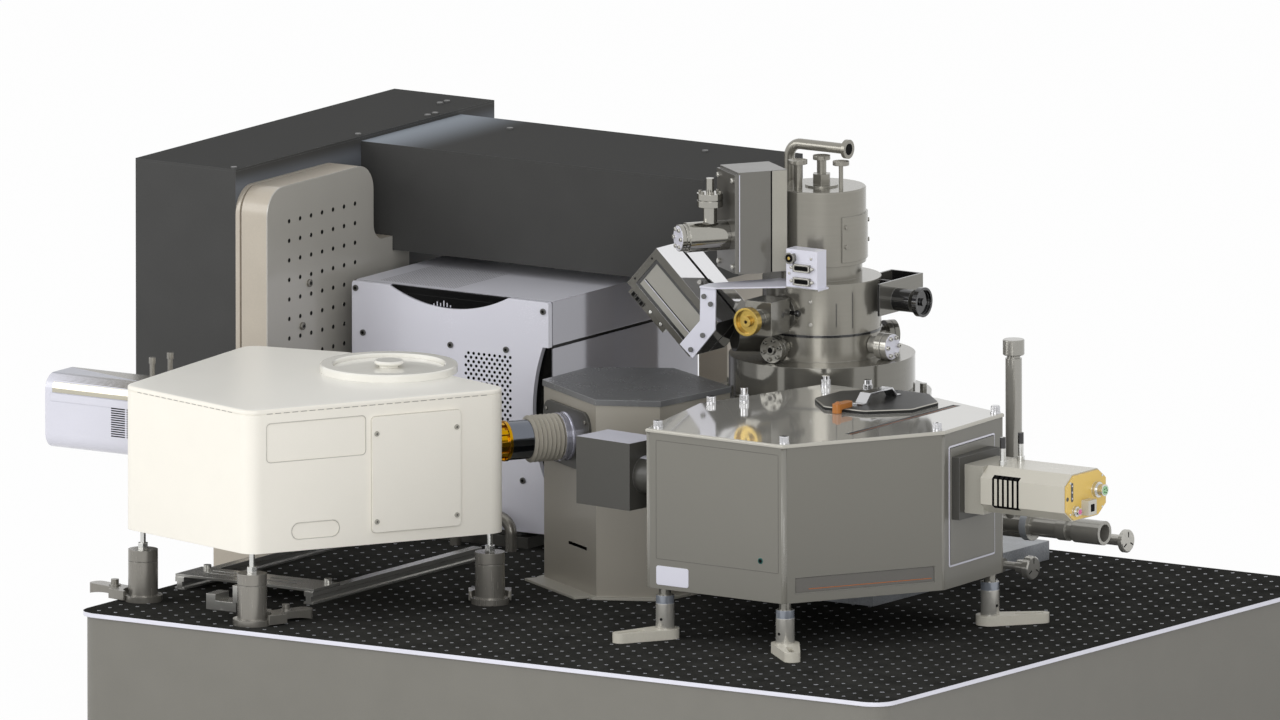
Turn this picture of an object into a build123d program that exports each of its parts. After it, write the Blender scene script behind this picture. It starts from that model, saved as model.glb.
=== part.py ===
from build123d import *
import math
import os

# A bench-mounted electron microscope with two spectrographs, a measuring unit
# and a dark optics enclosure, on a vibration-isolated table top.
#
# Millimetres, +Z up. The part's origin is the middle of the table's underside.
# Everything on the bench is drawn with z = 0 at the table's top face, and is
# moved up by the table's height when it is written.

# Driving dimensions of the table
TABLE_LENGTH = 1220.0
TABLE_WIDTH = 1036.0
TABLE_HEIGHT = 210.0
TABLE_SKIN = 5.5
TABLE_RIM = 5.0
TABLE_CORNER = 30.0
TABLE_WALL = 4.0
TABLE_FLOOR = 5.0
RIB = 3.0
RIB_PITCH_X = 200.0
RIB_PITCH_Y = 250.0
HOLE_RADIUS = 3.0
HOLE_FROM_RIGHT = 47.0
HOLE_FROM_FRONT = 72.0
HOLE_STEP_X = 100.0
HOLE_STEP_Y = 450.0

# Silver measuring unit, placed from the table's left edge
LEFT_EDGE = -TABLE_LENGTH / 2
UNIT_X0 = LEFT_EDGE - 31.0
UNIT_X1 = UNIT_X0 + 297.0
UNIT_Y0 = 163.0
UNIT_Y1 = 503.0
UNIT_Z0 = 21.0
UNIT_TOP = UNIT_Z0 + 297.0
UNIT_SEAM = 58.0
UNIT_PANEL = 8.0
UNIT_GAP = 1.5
UNIT_WALL = 2.0
UNIT_PLINTH = 14.0
SCREEN_CHORD = 181.0
SCREEN_DEPTH = 22.0
UNIT_SCREWS = [(6, 9), (289, 12), (17, 65), (149, 68), (233, 66), (258, 231), (31, 258)]

# Dark enclosure: a tall box beside the table and a beam over the measuring unit
SHEET = 3.0
SIDE_X1 = LEFT_EDGE - 107.0
SIDE_X0 = SIDE_X1 - 151.0
SIDE_Y0 = 13.0
SIDE_Y1 = 603.0
SIDE_Z0 = 60.0
BEAM_X1 = SIDE_X1 + 517.0
BEAM_Y0 = 299.0
BEAM_Y1 = 526.0
BEAM_Z0 = UNIT_TOP + 16.0
BEAM_TOP = BEAM_Z0 + 134.5
SIDE_TOP = BEAM_TOP + 6.5
PEDESTAL_DEPTH = 300.0
TIE_DEPTH = 190.0
TIE_TOP = 70.0
TIE_BOTTOM = 110.0
SCREW_RADIUS = 4.0
SCREW_HEAD = 2.0

# Upright breadboard on the enclosure
BOARD_BACK = 6.0
BOARD_GROOVE = 3.0
BOARD_THICK = 48.0
BOARD_SHEET = 1.5
BOARD_FACE_X = SIDE_X1 + BOARD_THICK
BOARD_TOP = SIDE_TOP - 23.0
BOARD_BOTTOM = SIDE_Z0
BOARD_REAR = BEAM_Y0 - 44.0
BOARD_END = BEAM_Y0 + 37.0
BOARD_LEDGE = BEAM_Z0 + 18.0
BOARD_CORNER = 34.0
BOARD_NOTCH = 21.0

# White spectrometer, its corners seen from above
WHITE = [(-590, -433), (-354, -506), (-167, -189), (-481, -83), (-618, -110)]
WHITE_Z0 = 95.0
WHITE_TOP = 279.0
WHITE_WALL = 4.0
WHITE_LID = 5.5
WHITE_ROUND = 22.0
PORT_RING = (-365.0, -169.0)
PORT_OUTER = 87.0
PORT_INNER = 70.5
PORT_HEIGHT = 10.0
PORT_SEAT = 4.0
WHITE_POSTS = [(-580.5, -405), (-370, -474), (-203, -184)]
CLAMP_ANGLES = (167.6, 67.3, 123.6)
CLAMP_LENGTHS = (90.0, 88.0, 88.0)
POST_RADIUS = 18.8
POST_JOINT = 51.0
POST_HEIGHT = 66.0
FOOT_RADIUS = 24.5
FOOT_THICK = 8.0
FORK_START = 27.0

# Grey spectrograph, its corners seen from above
GREY = [(98, -280), (309, -288), (424, -94), (415, 53), (287, 98), (113, 104), (56, -95)]
GREY_Z0 = 64.0
GREY_TOP = 267.6
GREY_WALL = 4.0
GREY_LID = 4.5
TURRET = (245.0, 22.0)
TURRET_RADIUS = 80.0
TURRET_PLATE = 5.0
GREY_POSTS = [(118, -269), (304, -276), (408.5, 33)]
GREY_FEET = (245.0, -49.0, 45.0)
GREY_POST_RADIUS = 12.0
GREY_FOOT_LENGTH = 76.0

# Beam line and the hexagonal tower that carries it
BEAM_HEIGHT = 195.5
TOWER = [(-241, -3), (-107, -86.4), (-33.5, -51.5), (-16.7, 82.7), (-149.9, 153.8), (-241.7, 98.6)]
TOWER_TOP = BEAM_HEIGHT + 59.5
TOWER_CAP = 7.5
TOWER_WALL = 5.0
TOWER_FLANGE = 3.0
TOWER_BORDER = 8.0
COUPLING_S = 75.0
BELLOWS_R = 30.0
BELLOWS_FOLDS = 7
BELLOWS_PITCH = 6.0

# Microscope column, a stack of turned pieces about one axis
SLAB_TOP = 24.0
CHAMBER_R = 108.0
CHAMBER_WALL = 14.0
CHAMBER_TOP = SLAB_TOP + 188.0
FLANGE_R = CHAMBER_R + 30.0
FLANGE_TOP = CHAMBER_TOP + 20.5
DRUM_R = 117.7
DRUM_TOP = FLANGE_TOP + 48.5
LENS_R = 75.0
LENS_SPLIT = DRUM_TOP + 31.5
LENS_SEAL = 3.0
LENS_TOP = LENS_SPLIT + 67.5
NECK_R = 51.0
NECK_TOP = LENS_TOP + 19.0
GUN_R = 56.0
GUN_TOP = NECK_TOP + 95.5
COLUMN_GAP = 14.6
COLUMN_SIDE = 125.0

# Running clearance of a shaft in its bore, and of a lid on its seat
CLEAR = 0.3

UP = (0, 0, 1)


# Helpers

def block(x0, x1, y0, y1, z0, z1):
    """A box by its limits."""
    size = (x1 - x0, y1 - y0, z1 - z0)
    return Pos((x0 + x1) / 2, (y0 + y1) / 2, (z0 + z1) / 2) * Box(*size)


def closed_box(x0, x1, y0, y1, z0, z1, wall):
    """A welded box section, closed all round."""
    room = block(x0 + wall, x1 - wall, y0 + wall, y1 - wall, z0 + wall, z1 - wall)
    return block(x0, x1, y0, y1, z0, z1) - room


def flat(points):
    """A flat face on XY from its corner points."""
    return make_face(Polyline(*[(x, y, 0) for x, y in points], close=True))


def rectangle(x0, x1, y0, y1):
    """The corners of a rectangle, seen from above."""
    return [(x0, y0), (x1, y0), (x1, y1), (x0, y1)]


def outline(corners, radius=0.0, grow=0.0):
    """A closed flat outline on XY, with its corners rounded, grown outwards."""
    face = flat(corners)
    if radius:
        face = fillet(face.vertices(), radius)
    if grow:
        face = offset(face, amount=grow, kind=Kind.INTERSECTION)
    return face


def prism(corners, z0, z1, radius=0.0, grow=0.0):
    """An upright prism on that outline."""
    return Pos(0, 0, z0) * extrude(outline(corners, radius, grow), z1 - z0, dir=UP)


def tray(corners, z0, z1, wall, radius=0.0):
    """A thin-walled box, open at the top."""
    return prism(corners, z0, z1, radius) - prism(corners, z0 + wall, z1 + 1, radius, -wall)


def profile_along_x(points, x0, x1):
    """An extrusion from x0 to x1 of a section given as (y, z) points."""
    plane = Plane(origin=(x0, 0, 0), x_dir=(0, 1, 0), z_dir=(1, 0, 0))
    return extrude(plane * flat(points), x1 - x0, dir=(1, 0, 0))


def profile_along_y(points, y0, y1):
    """An extrusion from y0 to y1 of a section given as (x, z) points."""
    plane = Plane(origin=(0, y0, 0), x_dir=(1, 0, 0), z_dir=(0, -1, 0))
    return extrude(plane * flat(points), y1 - y0, dir=(0, 1, 0))


def rod(a, b, radius):
    """A round bar from point a to point b."""
    way = Vector(*b) - Vector(*a)
    low = (Align.CENTER, Align.CENTER, Align.MIN)
    return Plane(origin=a, z_dir=way) * Cylinder(radius, way.length, align=low)


def tube(a, b, outer, inner):
    """A round tube from point a to point b, open at both ends."""
    way = (Vector(*b) - Vector(*a)).normalized()
    start, end = Vector(*a) - way, Vector(*b) + way
    return rod(a, b, outer) - rod(tuple(start), tuple(end), inner)


def upright(x, y, z0, z1, radius):
    """A round bar that stands on its end."""
    return rod((x, y, z0), (x, y, z1), radius)


def turned(profile, start=(0, 0, 0), way=UP):
    """A turned piece about the line from start along way, from (radius, distance) points."""
    section = Plane.XZ * flat(profile)
    return Plane(origin=start, z_dir=way) * revolve(section, Axis.Z)


def stepped(start, way, *steps):
    """A stepped turned bar from start along way: a radius and a length for each step."""
    profile = [(0, 0)]
    reach = 0.0
    for radius, length in steps:
        profile += [(radius, reach), (radius, reach + length)]
        reach += length
    return turned(profile + [(0, reach)], start, way)


def joined(*shapes):
    """Shapes that touch, as one solid."""
    whole = shapes[0]
    for shape in shapes[1:]:
        whole = whole + shape
    return whole


def gathered(shapes):
    """Shapes that stay solids of their own, in one compound."""
    return Compound(children=[solid for shape in shapes for solid in shape.solids()])


def along(start, end, distance, out=0.0):
    """A point on the line from start to end, moved out to its right-hand side."""
    dx, dy = end[0] - start[0], end[1] - start[1]
    size = math.hypot(dx, dy)
    dx, dy = dx / size, dy / size
    return (start[0] + dx * distance + dy * out, start[1] + dy * distance - dx * out)


def wall_plate(start, end, s0, s1, z0, z1, inner, outer, radius=0.0):
    """A plate on a wall: s0 to s1 along the wall, inner to outer away from it."""
    turn = math.degrees(math.atan2(end[1] - start[1], end[0] - start[0]))
    face = Rectangle(s1 - s0, z1 - z0)
    if radius:
        face = fillet(face.vertices(), radius)
    plate = extrude(Plane.XZ * face, outer - inner)
    middle = along(start, end, (s0 + s1) / 2, inner)
    return Pos(middle[0], middle[1], (z0 + z1) / 2) * Rot(0, 0, turn) * plate


def wall_rod(start, end, s, z, inner, outer, radius):
    """A round piece standing square out of a wall."""
    a, b = along(start, end, s, inner), along(start, end, s, outer)
    return rod((a[0], a[1], z), (b[0], b[1], z), radius)


def hexagon_bar(x, y, z0, z1, across):
    """An upright hexagonal bar, measured across its flats."""
    nut = extrude(RegularPolygon(across / 2, 6, major_radius=False), z1 - z0)
    return Pos(x, y, z0) * nut


def polar(centre, angle, distance):
    """A point at that distance and angle from a centre."""
    a = math.radians(angle)
    return (centre[0] + distance * math.cos(a), centre[1] + distance * math.sin(a))


pieces = {}

# Table: a drilled top plate on a ribbed body
half_x, half_y = TABLE_LENGTH / 2, TABLE_WIDTH / 2
body_x, body_y = half_x - TABLE_RIM, half_y - TABLE_RIM
rim = rectangle(-half_x, half_x, -half_y, half_y)
body = rectangle(-body_x, body_x, -body_y, body_y)
body_corner = TABLE_CORNER - TABLE_RIM
bottom = -TABLE_HEIGHT

plate = prism(rim, -TABLE_SKIN, 0, TABLE_CORNER)
for column in (0, 1):
    for row in (0, 1):
        x = half_x - HOLE_FROM_RIGHT - column * HOLE_STEP_X
        y = -half_y + HOLE_FROM_FRONT + row * HOLE_STEP_Y
        plate = plate - upright(x, y, -TABLE_SKIN - 1, 1, HOLE_RADIUS)
pieces["table_top_plate"] = plate

floor_top = bottom + TABLE_FLOOR
wall = prism(body, floor_top, -TABLE_SKIN, body_corner)
pieces["table_side_wall"] = wall - prism(body, floor_top - 1, 0, body_corner, -TABLE_WALL)
pieces["table_bottom_skin"] = prism(body, bottom, floor_top, body_corner)
inner_x, inner_y = body_x - TABLE_WALL, body_y - TABLE_WALL
ribs = []
for n in range(-2, 3):
    x = n * RIB_PITCH_X
    ribs.append(block(x - RIB / 2, x + RIB / 2, -inner_y, inner_y, floor_top, -TABLE_SKIN))
for n in (-1, 0, 1):
    y = n * RIB_PITCH_Y
    ribs.append(block(-inner_x, inner_x, y - RIB / 2, y + RIB / 2, floor_top, -TABLE_SKIN))
pieces["table_core_ribs"] = joined(*ribs)

# Dark enclosure: two folded-sheet trays, each with its lid
side = rectangle(SIDE_X0, SIDE_X1, SIDE_Y0, SIDE_Y1)
pieces["side_enclosure"] = tray(side, SIDE_Z0, SIDE_TOP - SHEET, SHEET)
pieces["side_enclosure_lid"] = prism(side, SIDE_TOP - SHEET, SIDE_TOP)
beam = rectangle(SIDE_X1, BEAM_X1, BEAM_Y0, BEAM_Y1)
pieces["rear_enclosure"] = tray(beam, BEAM_Z0, BEAM_TOP - SHEET, SHEET)
pieces["rear_enclosure_lid"] = prism(beam, BEAM_TOP - SHEET, BEAM_TOP)

# Lid screws: inset from the tall box's right edge and distance from its front
screws = []
for inset, back in ((43, 531), (43, 547), (8.5, 451), (8.5, 468), (7, 7), (7, 290)):
    screws.append(upright(SIDE_X1 - inset, SIDE_Y0 + back, SIDE_TOP, SIDE_TOP + SCREW_HEAD, SCREW_RADIUS))
for x in (SIDE_X1 + 111, BEAM_X1 - 111):
    screws.append(upright(x, BEAM_Y1 - 55, BEAM_TOP, BEAM_TOP + SCREW_HEAD, SCREW_RADIUS))
pieces["enclosure_screws"] = gathered(screws)

# Pedestal beside the table, tied to the table's left side, and a post under the beam
pedestal_y = SIDE_Y0 + 16
pieces["enclosure_pedestal"] = closed_box(
    SIDE_X1 - 45, BOARD_FACE_X, pedestal_y, pedestal_y + PEDESTAL_DEPTH, bottom, SIDE_Z0, SHEET)
tie_y = pedestal_y + (PEDESTAL_DEPTH - TIE_DEPTH) / 2
pieces["pedestal_tie"] = block(BOARD_FACE_X, -body_x, tie_y, tie_y + TIE_DEPTH, -TIE_BOTTOM, -TIE_TOP)
pieces["rear_enclosure_post"] = closed_box(
    BEAM_X1 - 80, BEAM_X1 - 37, BEAM_Y0 + 110, BEAM_Y1 - 17, 0, BEAM_Z0, SHEET)

# Upright breadboard, its outline seen from the right as (y, z) points
BOARD_OUTLINE = [
    (SIDE_Y0, BOARD_BOTTOM), (SIDE_Y0, BOARD_TOP), (BOARD_REAR, BOARD_TOP),
    (BOARD_REAR, BOARD_LEDGE), (BEAM_Y0 - 1, BOARD_LEDGE), (BEAM_Y0 - 1, BEAM_Z0 - 1),
    (BOARD_END, BEAM_Z0 - 1), (BOARD_END, BOARD_BOTTOM),
]


def board_layer(x0, x1, shrink=0.0):
    """One layer of the board, from x0 to x1."""
    face = flat(BOARD_OUTLINE)
    face = fillet([v for v in face.vertices() if v.Y > BOARD_TOP - 1], BOARD_CORNER)
    notch = [v for v in face.vertices() if abs(v.X - BOARD_REAR) < 1 and v.Y < BOARD_LEDGE + 1]
    face = fillet(notch, BOARD_NOTCH)
    if shrink:
        face = offset(face, amount=-shrink)
    plane = Plane(origin=(x0, 0, 0), x_dir=(0, 1, 0), z_dir=(1, 0, 0))
    return extrude(plane * face, x1 - x0, dir=(1, 0, 0))


back_x = SIDE_X1 + BOARD_BACK
groove_x = back_x + BOARD_GROOVE
sheet_x = BOARD_FACE_X - BOARD_SHEET
pieces["board_back_plate"] = board_layer(SIDE_X1, back_x)
pieces["board_spacer"] = board_layer(back_x, groove_x, 4)
pieces["board_body"] = board_layer(groove_x, sheet_x)
pieces["board_face_sheet"] = board_layer(sheet_x, BOARD_FACE_X)

# Silver measuring unit: a front panel with a crescent for the display, two covers and a plinth
seam_z = UNIT_TOP - UNIT_SEAM
panel_back = UNIT_Y0 + UNIT_PANEL
case_y0 = panel_back + UNIT_GAP
middle_x = (UNIT_X0 + UNIT_X1) / 2 - 3
screen_radius = ((SCREEN_CHORD / 2) ** 2 + SCREEN_DEPTH ** 2) / (2 * SCREEN_DEPTH)
screen_z = UNIT_TOP - SCREEN_DEPTH + screen_radius


def screen_disc(y0, y1, radius):
    """The disc that cuts the crescent out of the front panel."""
    return rod((middle_x, y0, screen_z), (middle_x, y1, screen_z), radius)


BOW_RADIUS = 229.0
BOW_DEPTH = 24.0
bow_x = UNIT_X1 + BOW_RADIUS - BOW_DEPTH
bow_z = UNIT_Z0 + 157
bow = rod((bow_x, UNIT_Y0 - 1, bow_z), (bow_x, panel_back + 1, bow_z), BOW_RADIUS)
bow = bow & block(UNIT_X1 - 60, UNIT_X1 + 5, UNIT_Y0 - 2, panel_back + 2, UNIT_Z0 + 15, seam_z)
panel = block(UNIT_X0, UNIT_X1, UNIT_Y0, panel_back, UNIT_Z0, UNIT_TOP)
panel = fillet(panel.edges().filter_by(Axis.Y).sort_by(Axis.Z)[-2:], 4)
pieces["unit_front_panel"] = panel - screen_disc(UNIT_Y0 - 1, panel_back + 1, screen_radius) - bow

room = block(
    UNIT_X0 + UNIT_WALL, UNIT_X1 - UNIT_WALL, case_y0, UNIT_Y1 - UNIT_WALL,
    UNIT_Z0 + UNIT_WALL, UNIT_TOP - UNIT_WALL)
seam_half = 2.0
pieces["unit_upper_cover"] = block(UNIT_X0, UNIT_X1, case_y0, UNIT_Y1, seam_z + seam_half, UNIT_TOP) - room
pieces["unit_lower_case"] = block(UNIT_X0, UNIT_X1, case_y0, UNIT_Y1, UNIT_Z0, seam_z - seam_half) - room
inset = 1.5
gasket = closed_box(
    UNIT_X0 + inset, UNIT_X1 - inset, case_y0, UNIT_Y1 - inset,
    seam_z - seam_half - 5, seam_z + seam_half + 5, 4.5)
gasket = gasket & block(UNIT_X0, UNIT_X1, UNIT_Y0, UNIT_Y1, seam_z - seam_half, seam_z + seam_half)
bulkhead = block(UNIT_X0 + inset, UNIT_X1 - inset, panel_back, case_y0, UNIT_Z0 + inset, UNIT_TOP - 30)
pieces["unit_seam_gasket"] = joined(gasket, bulkhead)
glass = block(middle_x - 75, middle_x + 75, UNIT_Y0 + 3, panel_back, UNIT_TOP - 22, UNIT_TOP - 9)
pieces["unit_display"] = glass & screen_disc(UNIT_Y0, panel_back, screen_radius - 0.2)
bar = block(middle_x - 90, middle_x + 90, UNIT_Y0 + 3, panel_back, UNIT_TOP - 9, UNIT_TOP - 0.5)
pieces["unit_display_bar"] = bar & screen_disc(UNIT_Y0, panel_back, screen_radius - 0.2)
plinth = block(UNIT_X0 + 32.5, UNIT_X1 - 32.5, UNIT_Y0, UNIT_Y1 - 10, 0, UNIT_PLINTH)
riser = block(UNIT_X0 + 50, UNIT_X1 - 50, UNIT_Y0 + 12, UNIT_Y1 - 30, UNIT_PLINTH, UNIT_Z0)
pieces["unit_base"] = joined(plinth, riser)
pieces["unit_screws"] = gathered([
    rod((UNIT_X0 + x, UNIT_Y0, UNIT_TOP - down), (UNIT_X0 + x, UNIT_Y0 - 1.6, UNIT_TOP - down), SCREW_RADIUS)
    for x, down in UNIT_SCREWS])

# Bent pipe in front of the measuring unit
PIPE_RADIUS = 7.5
pipe_x, pipe_y, pipe_rise, pipe_span = -386.0, 140.0, 42.0, 84.0
path = FilletPolyline(
    (pipe_x, pipe_y, 0), (pipe_x, pipe_y, pipe_rise), (pipe_x - pipe_span, pipe_y, pipe_rise),
    (pipe_x - pipe_span, pipe_y, 0), radius=20)
pieces["bent_pipe"] = sweep(Plane(origin=(pipe_x, pipe_y, 0), z_dir=UP) * Circle(PIPE_RADIUS), path=path)

# White spectrometer: a tray with a lid, two shallow recesses and a round port
white_lid_z = WHITE_TOP - WHITE_LID
white_front, white_right = WHITE[1], WHITE[2]
white = tray(WHITE, WHITE_Z0, white_lid_z - 1, WHITE_WALL, WHITE_ROUND)
white = white - wall_plate(white_front, white_right, 25, 165, WHITE_TOP - 69, WHITE_TOP - 18, -1.2, 1, 6)
pieces["white_housing"] = white - wall_plate(
    white_front, white_right, 60, 128, WHITE_Z0 + 14, WHITE_Z0 + 36, -1.2, 1, 10.5)
lid = prism(WHITE, white_lid_z, WHITE_TOP, WHITE_ROUND)
lid = fillet(lid.faces().sort_by(Axis.Z)[-1].edges(), 3)
lid = joined(lid, prism(WHITE, white_lid_z - 1, white_lid_z, WHITE_ROUND, -2.5))
pieces["white_lid"] = lid - upright(*PORT_RING, white_lid_z - 2, WHITE_TOP + 1, PORT_INNER - PORT_SEAT)
edge = 1.5
pieces["white_port_ring"] = turned([
    (PORT_INNER, 0), (PORT_OUTER, 0), (PORT_OUTER, PORT_HEIGHT - edge), (PORT_OUTER - edge, PORT_HEIGHT),
    (PORT_INNER + edge, PORT_HEIGHT), (PORT_INNER, PORT_HEIGHT - edge)], (*PORT_RING, WHITE_TOP))
PORT_LID_THICK = 5.0
pieces["port_lid_disc"] = upright(
    *PORT_RING, WHITE_TOP, WHITE_TOP + PORT_LID_THICK, PORT_INNER - 2 * CLEAR)
pieces["port_lid_knob"] = turned(
    [(0, 0), (12, 0), (12, 4), (17, 4), (18.5, 5.5), (18.5, 7.5), (17, 9), (0, 9)],
    (*PORT_RING, WHITE_TOP + PORT_LID_THICK))
COVER_THICK = 3.5
pieces["white_side_cover"] = wall_plate(
    white_front, white_right, 172, 296, WHITE_Z0 + 15, WHITE_TOP - 21, 0.0, COVER_THICK, 5)
pieces["white_cover_screws"] = gathered([
    wall_rod(white_front, white_right, s, z, COVER_THICK, COVER_THICK + 1.5, 3.2)
    for s in (178, 290) for z in (WHITE_Z0 + 29, WHITE_TOP - 42.5)])

# Three posts under the white spectrometer, each with a collar and a levelling stud
posts, collars, studs = [], [], []
for x, y in WHITE_POSTS:
    posts.append(stepped((x, y, 0), UP, (FOOT_RADIUS, FOOT_THICK), (POST_RADIUS, POST_JOINT - FOOT_THICK)))
    collar = ((POST_RADIUS - 1, 1), (POST_RADIUS, POST_HEIGHT - POST_JOINT - 1))
    collars.append(stepped((x, y, POST_JOINT), UP, *collar))
    nut = hexagon_bar(x, y, POST_HEIGHT, POST_HEIGHT + 8, 12)
    studs.append(joined(nut, upright(x, y, POST_HEIGHT + 8, WHITE_Z0, 3.5)))
pieces["white_posts"] = gathered(posts)
pieces["white_post_collars"] = gathered(collars)
pieces["white_post_studs"] = gathered(studs)

# Arched fork clamps that hold the posts' feet, and their bolts
CLAMP_WIDTH = 22.0
CLAMP_THICK = 13.0
CLAMP_ARCH = 4.0
YOKE_WIDTH = 54.0
BOLT_REACH = FORK_START + 24.0


def fork(x, y, angle, length):
    """A clamp arm, arched under its middle, whose yoke fits round a post's foot."""
    span = length - FORK_START
    arch = (span ** 2 / 4 + CLAMP_ARCH ** 2) / (2 * CLAMP_ARCH)
    arch_x = FORK_START + span / 2 - 4
    arm = block(FORK_START, length, -CLAMP_WIDTH / 2, CLAMP_WIDTH / 2, 0, CLAMP_THICK)
    arm = arm - rod((arch_x, -CLAMP_WIDTH, CLAMP_ARCH - arch), (arch_x, CLAMP_WIDTH, CLAMP_ARCH - arch), arch)
    arm = fillet(arm.edges().filter_by(Axis.Z).sort_by(Axis.X)[-2:], 8)
    yoke = block(FOOT_THICK, FORK_START + 8, -YOKE_WIDTH / 2, YOKE_WIDTH / 2, 2, CLAMP_THICK + 1)
    yoke = yoke - upright(0, 0, -1, CLAMP_THICK + 2, FOOT_RADIUS + 0.2)
    arm = joined(arm, yoke) - upright(BOLT_REACH, 0, -1, CLAMP_THICK + 2, 3.2)
    return Pos(x, y, 0) * Rot(0, 0, angle) * arm


forks, bolts = [], []
for post, angle, length in zip(WHITE_POSTS, CLAMP_ANGLES, CLAMP_LENGTHS):
    forks.append(fork(*post, angle, length))
    bolts.append(stepped((*polar(post, angle, BOLT_REACH), CLAMP_THICK), UP, (7.5, 1.5), (5, 6.5)))
pieces["post_clamps"] = gathered(forks)
pieces["clamp_bolts"] = gathered(bolts)

# Camera on the white spectrometer's left wall
CAM_Y = -276.0
CAM_Z = BEAM_HEIGHT + 13.0
CAM_DEEP = 80.0
CAM_TALL = 95.0
CAM_X0 = -787.0
CAM_X1 = -655.0
CAM_PLATE = 40.0
section = Plane(origin=(CAM_X0, CAM_Y, CAM_Z), x_dir=(0, 1, 0), z_dir=(1, 0, 0))
rounded = fillet(Rectangle(CAM_DEEP, CAM_TALL).vertices(), 20)
cam_front = CAM_Y - CAM_DEEP / 2
pieces["left_camera_body"] = extrude(section * rounded, CAM_X1 - CAM_X0)
pieces["left_camera_strip"] = block(
    CAM_X0 + 8, CAM_X1 - 2, cam_front - 1, cam_front, CAM_Z + 14.5, CAM_Z + 24.5)
touch_x = along(WHITE[4], WHITE[0], 160)[0]
adapter = block(CAM_X1, touch_x + 6, CAM_Y - CAM_PLATE, CAM_Y + CAM_PLATE, CAM_Z - 38, CAM_Z + CAM_PLATE)
pieces["left_camera_adapter"] = adapter - prism(WHITE, WHITE_Z0 - 1, WHITE_TOP, WHITE_ROUND)
STEM_OFFSET = 20.5
pieces["left_adapter_stems"] = gathered([
    stepped((CAM_X1 + 17, CAM_Y + dy, CAM_Z + CAM_PLATE), UP, (3.2, 32.5), (4.2, 8))
    for dy in (-STEM_OFFSET, STEM_OFFSET)])

# Two rails on the table under the white spectrometer, with a slotted plate across them
RAIL_HEIGHT = 16.0
RAIL_START = -316.0
RAIL_END = 70.0
RAIL_X = (-584.5, -390.0)
half_rail = [(7, 0), (7, 3), (4, 3), (4, 10), (6.5, 10), (6.5, RAIL_HEIGHT)]
pieces["bench_rails"] = gathered([
    profile_along_y(
        [(x + dx, z) for dx, z in half_rail] + [(x - dx, z) for dx, z in reversed(half_rail)],
        RAIL_START, RAIL_END)
    for x in RAIL_X])
CROSS_TOP = RAIL_HEIGHT + 3.5
cross = block(RAIL_X[0] - 7.5, RAIL_X[1] + 7, RAIL_START + 2, RAIL_START + 62, RAIL_HEIGHT, CROSS_TOP)
for x in (-540, -450):
    for y in (RAIL_START + 24, RAIL_START + 40):
        cross = cross - block(x - 25, x + 25, y, y + 6, RAIL_HEIGHT - 1, CROSS_TOP + 1)
pieces["rail_cross_plate"] = cross
pieces["rail_screws"] = gathered([
    upright(x, RAIL_START + 54, CROSS_TOP, CROSS_TOP + 5, 5) for x in (RAIL_X[0] + 6.5, RAIL_X[1] - 6)])
carriage = [
    (-480, 0), (-435, 0), (-435, 12), (-428, 12), (-428, 34),
    (-440, 34), (-440, 12), (-466, 12), (-466, 20), (-480, 20)]
pieces["rail_carriage"] = profile_along_y(carriage, -413, -382)

# Grey spectrograph: a tray with two recessed panels and a chamfered lid
grey_lid_z = GREY_TOP - GREY_LID
slant = (GREY[1], GREY[2])
right = (GREY[2], GREY[3])
grey = tray(GREY, GREY_Z0, grey_lid_z, GREY_WALL)
grey = grey - wall_plate(*slant, 17, 212, GREY_Z0 + 12, GREY_Z0 + 32, -1.5, 1)
pieces["grey_housing"] = grey - wall_plate(*right, 12, 125, GREY_Z0 + 28, GREY_TOP - 22.6, -2, 1)
pieces["grey_side_panel"] = wall_plate(*right, 14, 123, GREY_Z0 + 30, GREY_TOP - 24.6, -2, 2)
lid = prism(GREY, grey_lid_z, GREY_TOP, 0, 1.5)
lid = chamfer(lid.faces().sort_by(Axis.Z)[-1].edges(), 1.5)
STRIP_DEPTH = 2.0
pieces["grey_lid"] = lid - block(330, 342, -179, 68, GREY_TOP - STRIP_DEPTH, GREY_TOP + 1)
pieces["grey_lid_strip"] = block(
    330 + CLEAR, 342 - CLEAR, -179 + CLEAR, 68 - CLEAR, GREY_TOP - STRIP_DEPTH, GREY_TOP - 0.5)
LID_NUTS = [
    (107, -268, 9), (303, -276, 9), (412, -92, 9), (408, 47, 10),
    (121, 93, 13), (184, 94, 14), (68, -88, 9), (96, -55, 18)]
pieces["grey_lid_nuts"] = gathered([
    stepped((x, y, GREY_TOP), UP, (6.5, 2), (5, tall - 2)) for x, y, tall in LID_NUTS])

# Eight-sided turret cover on the lid, with a strap handle and an orange catch
plate_top = GREY_TOP + TURRET_PLATE
octagon = fillet(RegularPolygon(TURRET_RADIUS, 8, rotation=22.5).vertices(), 12)
disc = Pos(*TURRET, GREY_TOP) * extrude(octagon, TURRET_PLATE)
pieces["turret_cover"] = chamfer(disc.faces().sort_by(Axis.Z)[-1].edges(), 1)
STRAP_WIDTH = 16.0
half_strap = [(44, 0), (44, 2), (36, 2), (25, 13), (0, 13)]
half_hollow = [(0, 11), (24, 11), (34, 0)]
strap = [(y, z) for y, z in half_strap] + [(-y, z) for y, z in reversed(half_strap[:-1])]
strap += [(-y, z) for y, z in reversed(half_hollow[1:])] + [(y, z) for y, z in half_hollow[1:]]
strap = profile_along_x(strap, -STRAP_WIDTH / 2, STRAP_WIDTH / 2)
pieces["turret_handle"] = Pos(*TURRET, plate_top) * strap
CATCH_WIDTH = 12.0
CATCH_THICK = 7.0
catch_x = TURRET[0] - 4
cover_edge = TURRET[1] - TURRET_RADIUS * math.cos(math.pi / 8)
catch = extrude(Rot(0, 0, 90) * SlotOverall(36, CATCH_WIDTH), CATCH_THICK)
catch = Pos(catch_x, cover_edge + 2, plate_top) * catch
heel = upright(catch_x, cover_edge + 2 - 12, GREY_TOP + CLEAR, plate_top, CATCH_WIDTH / 2)
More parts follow.
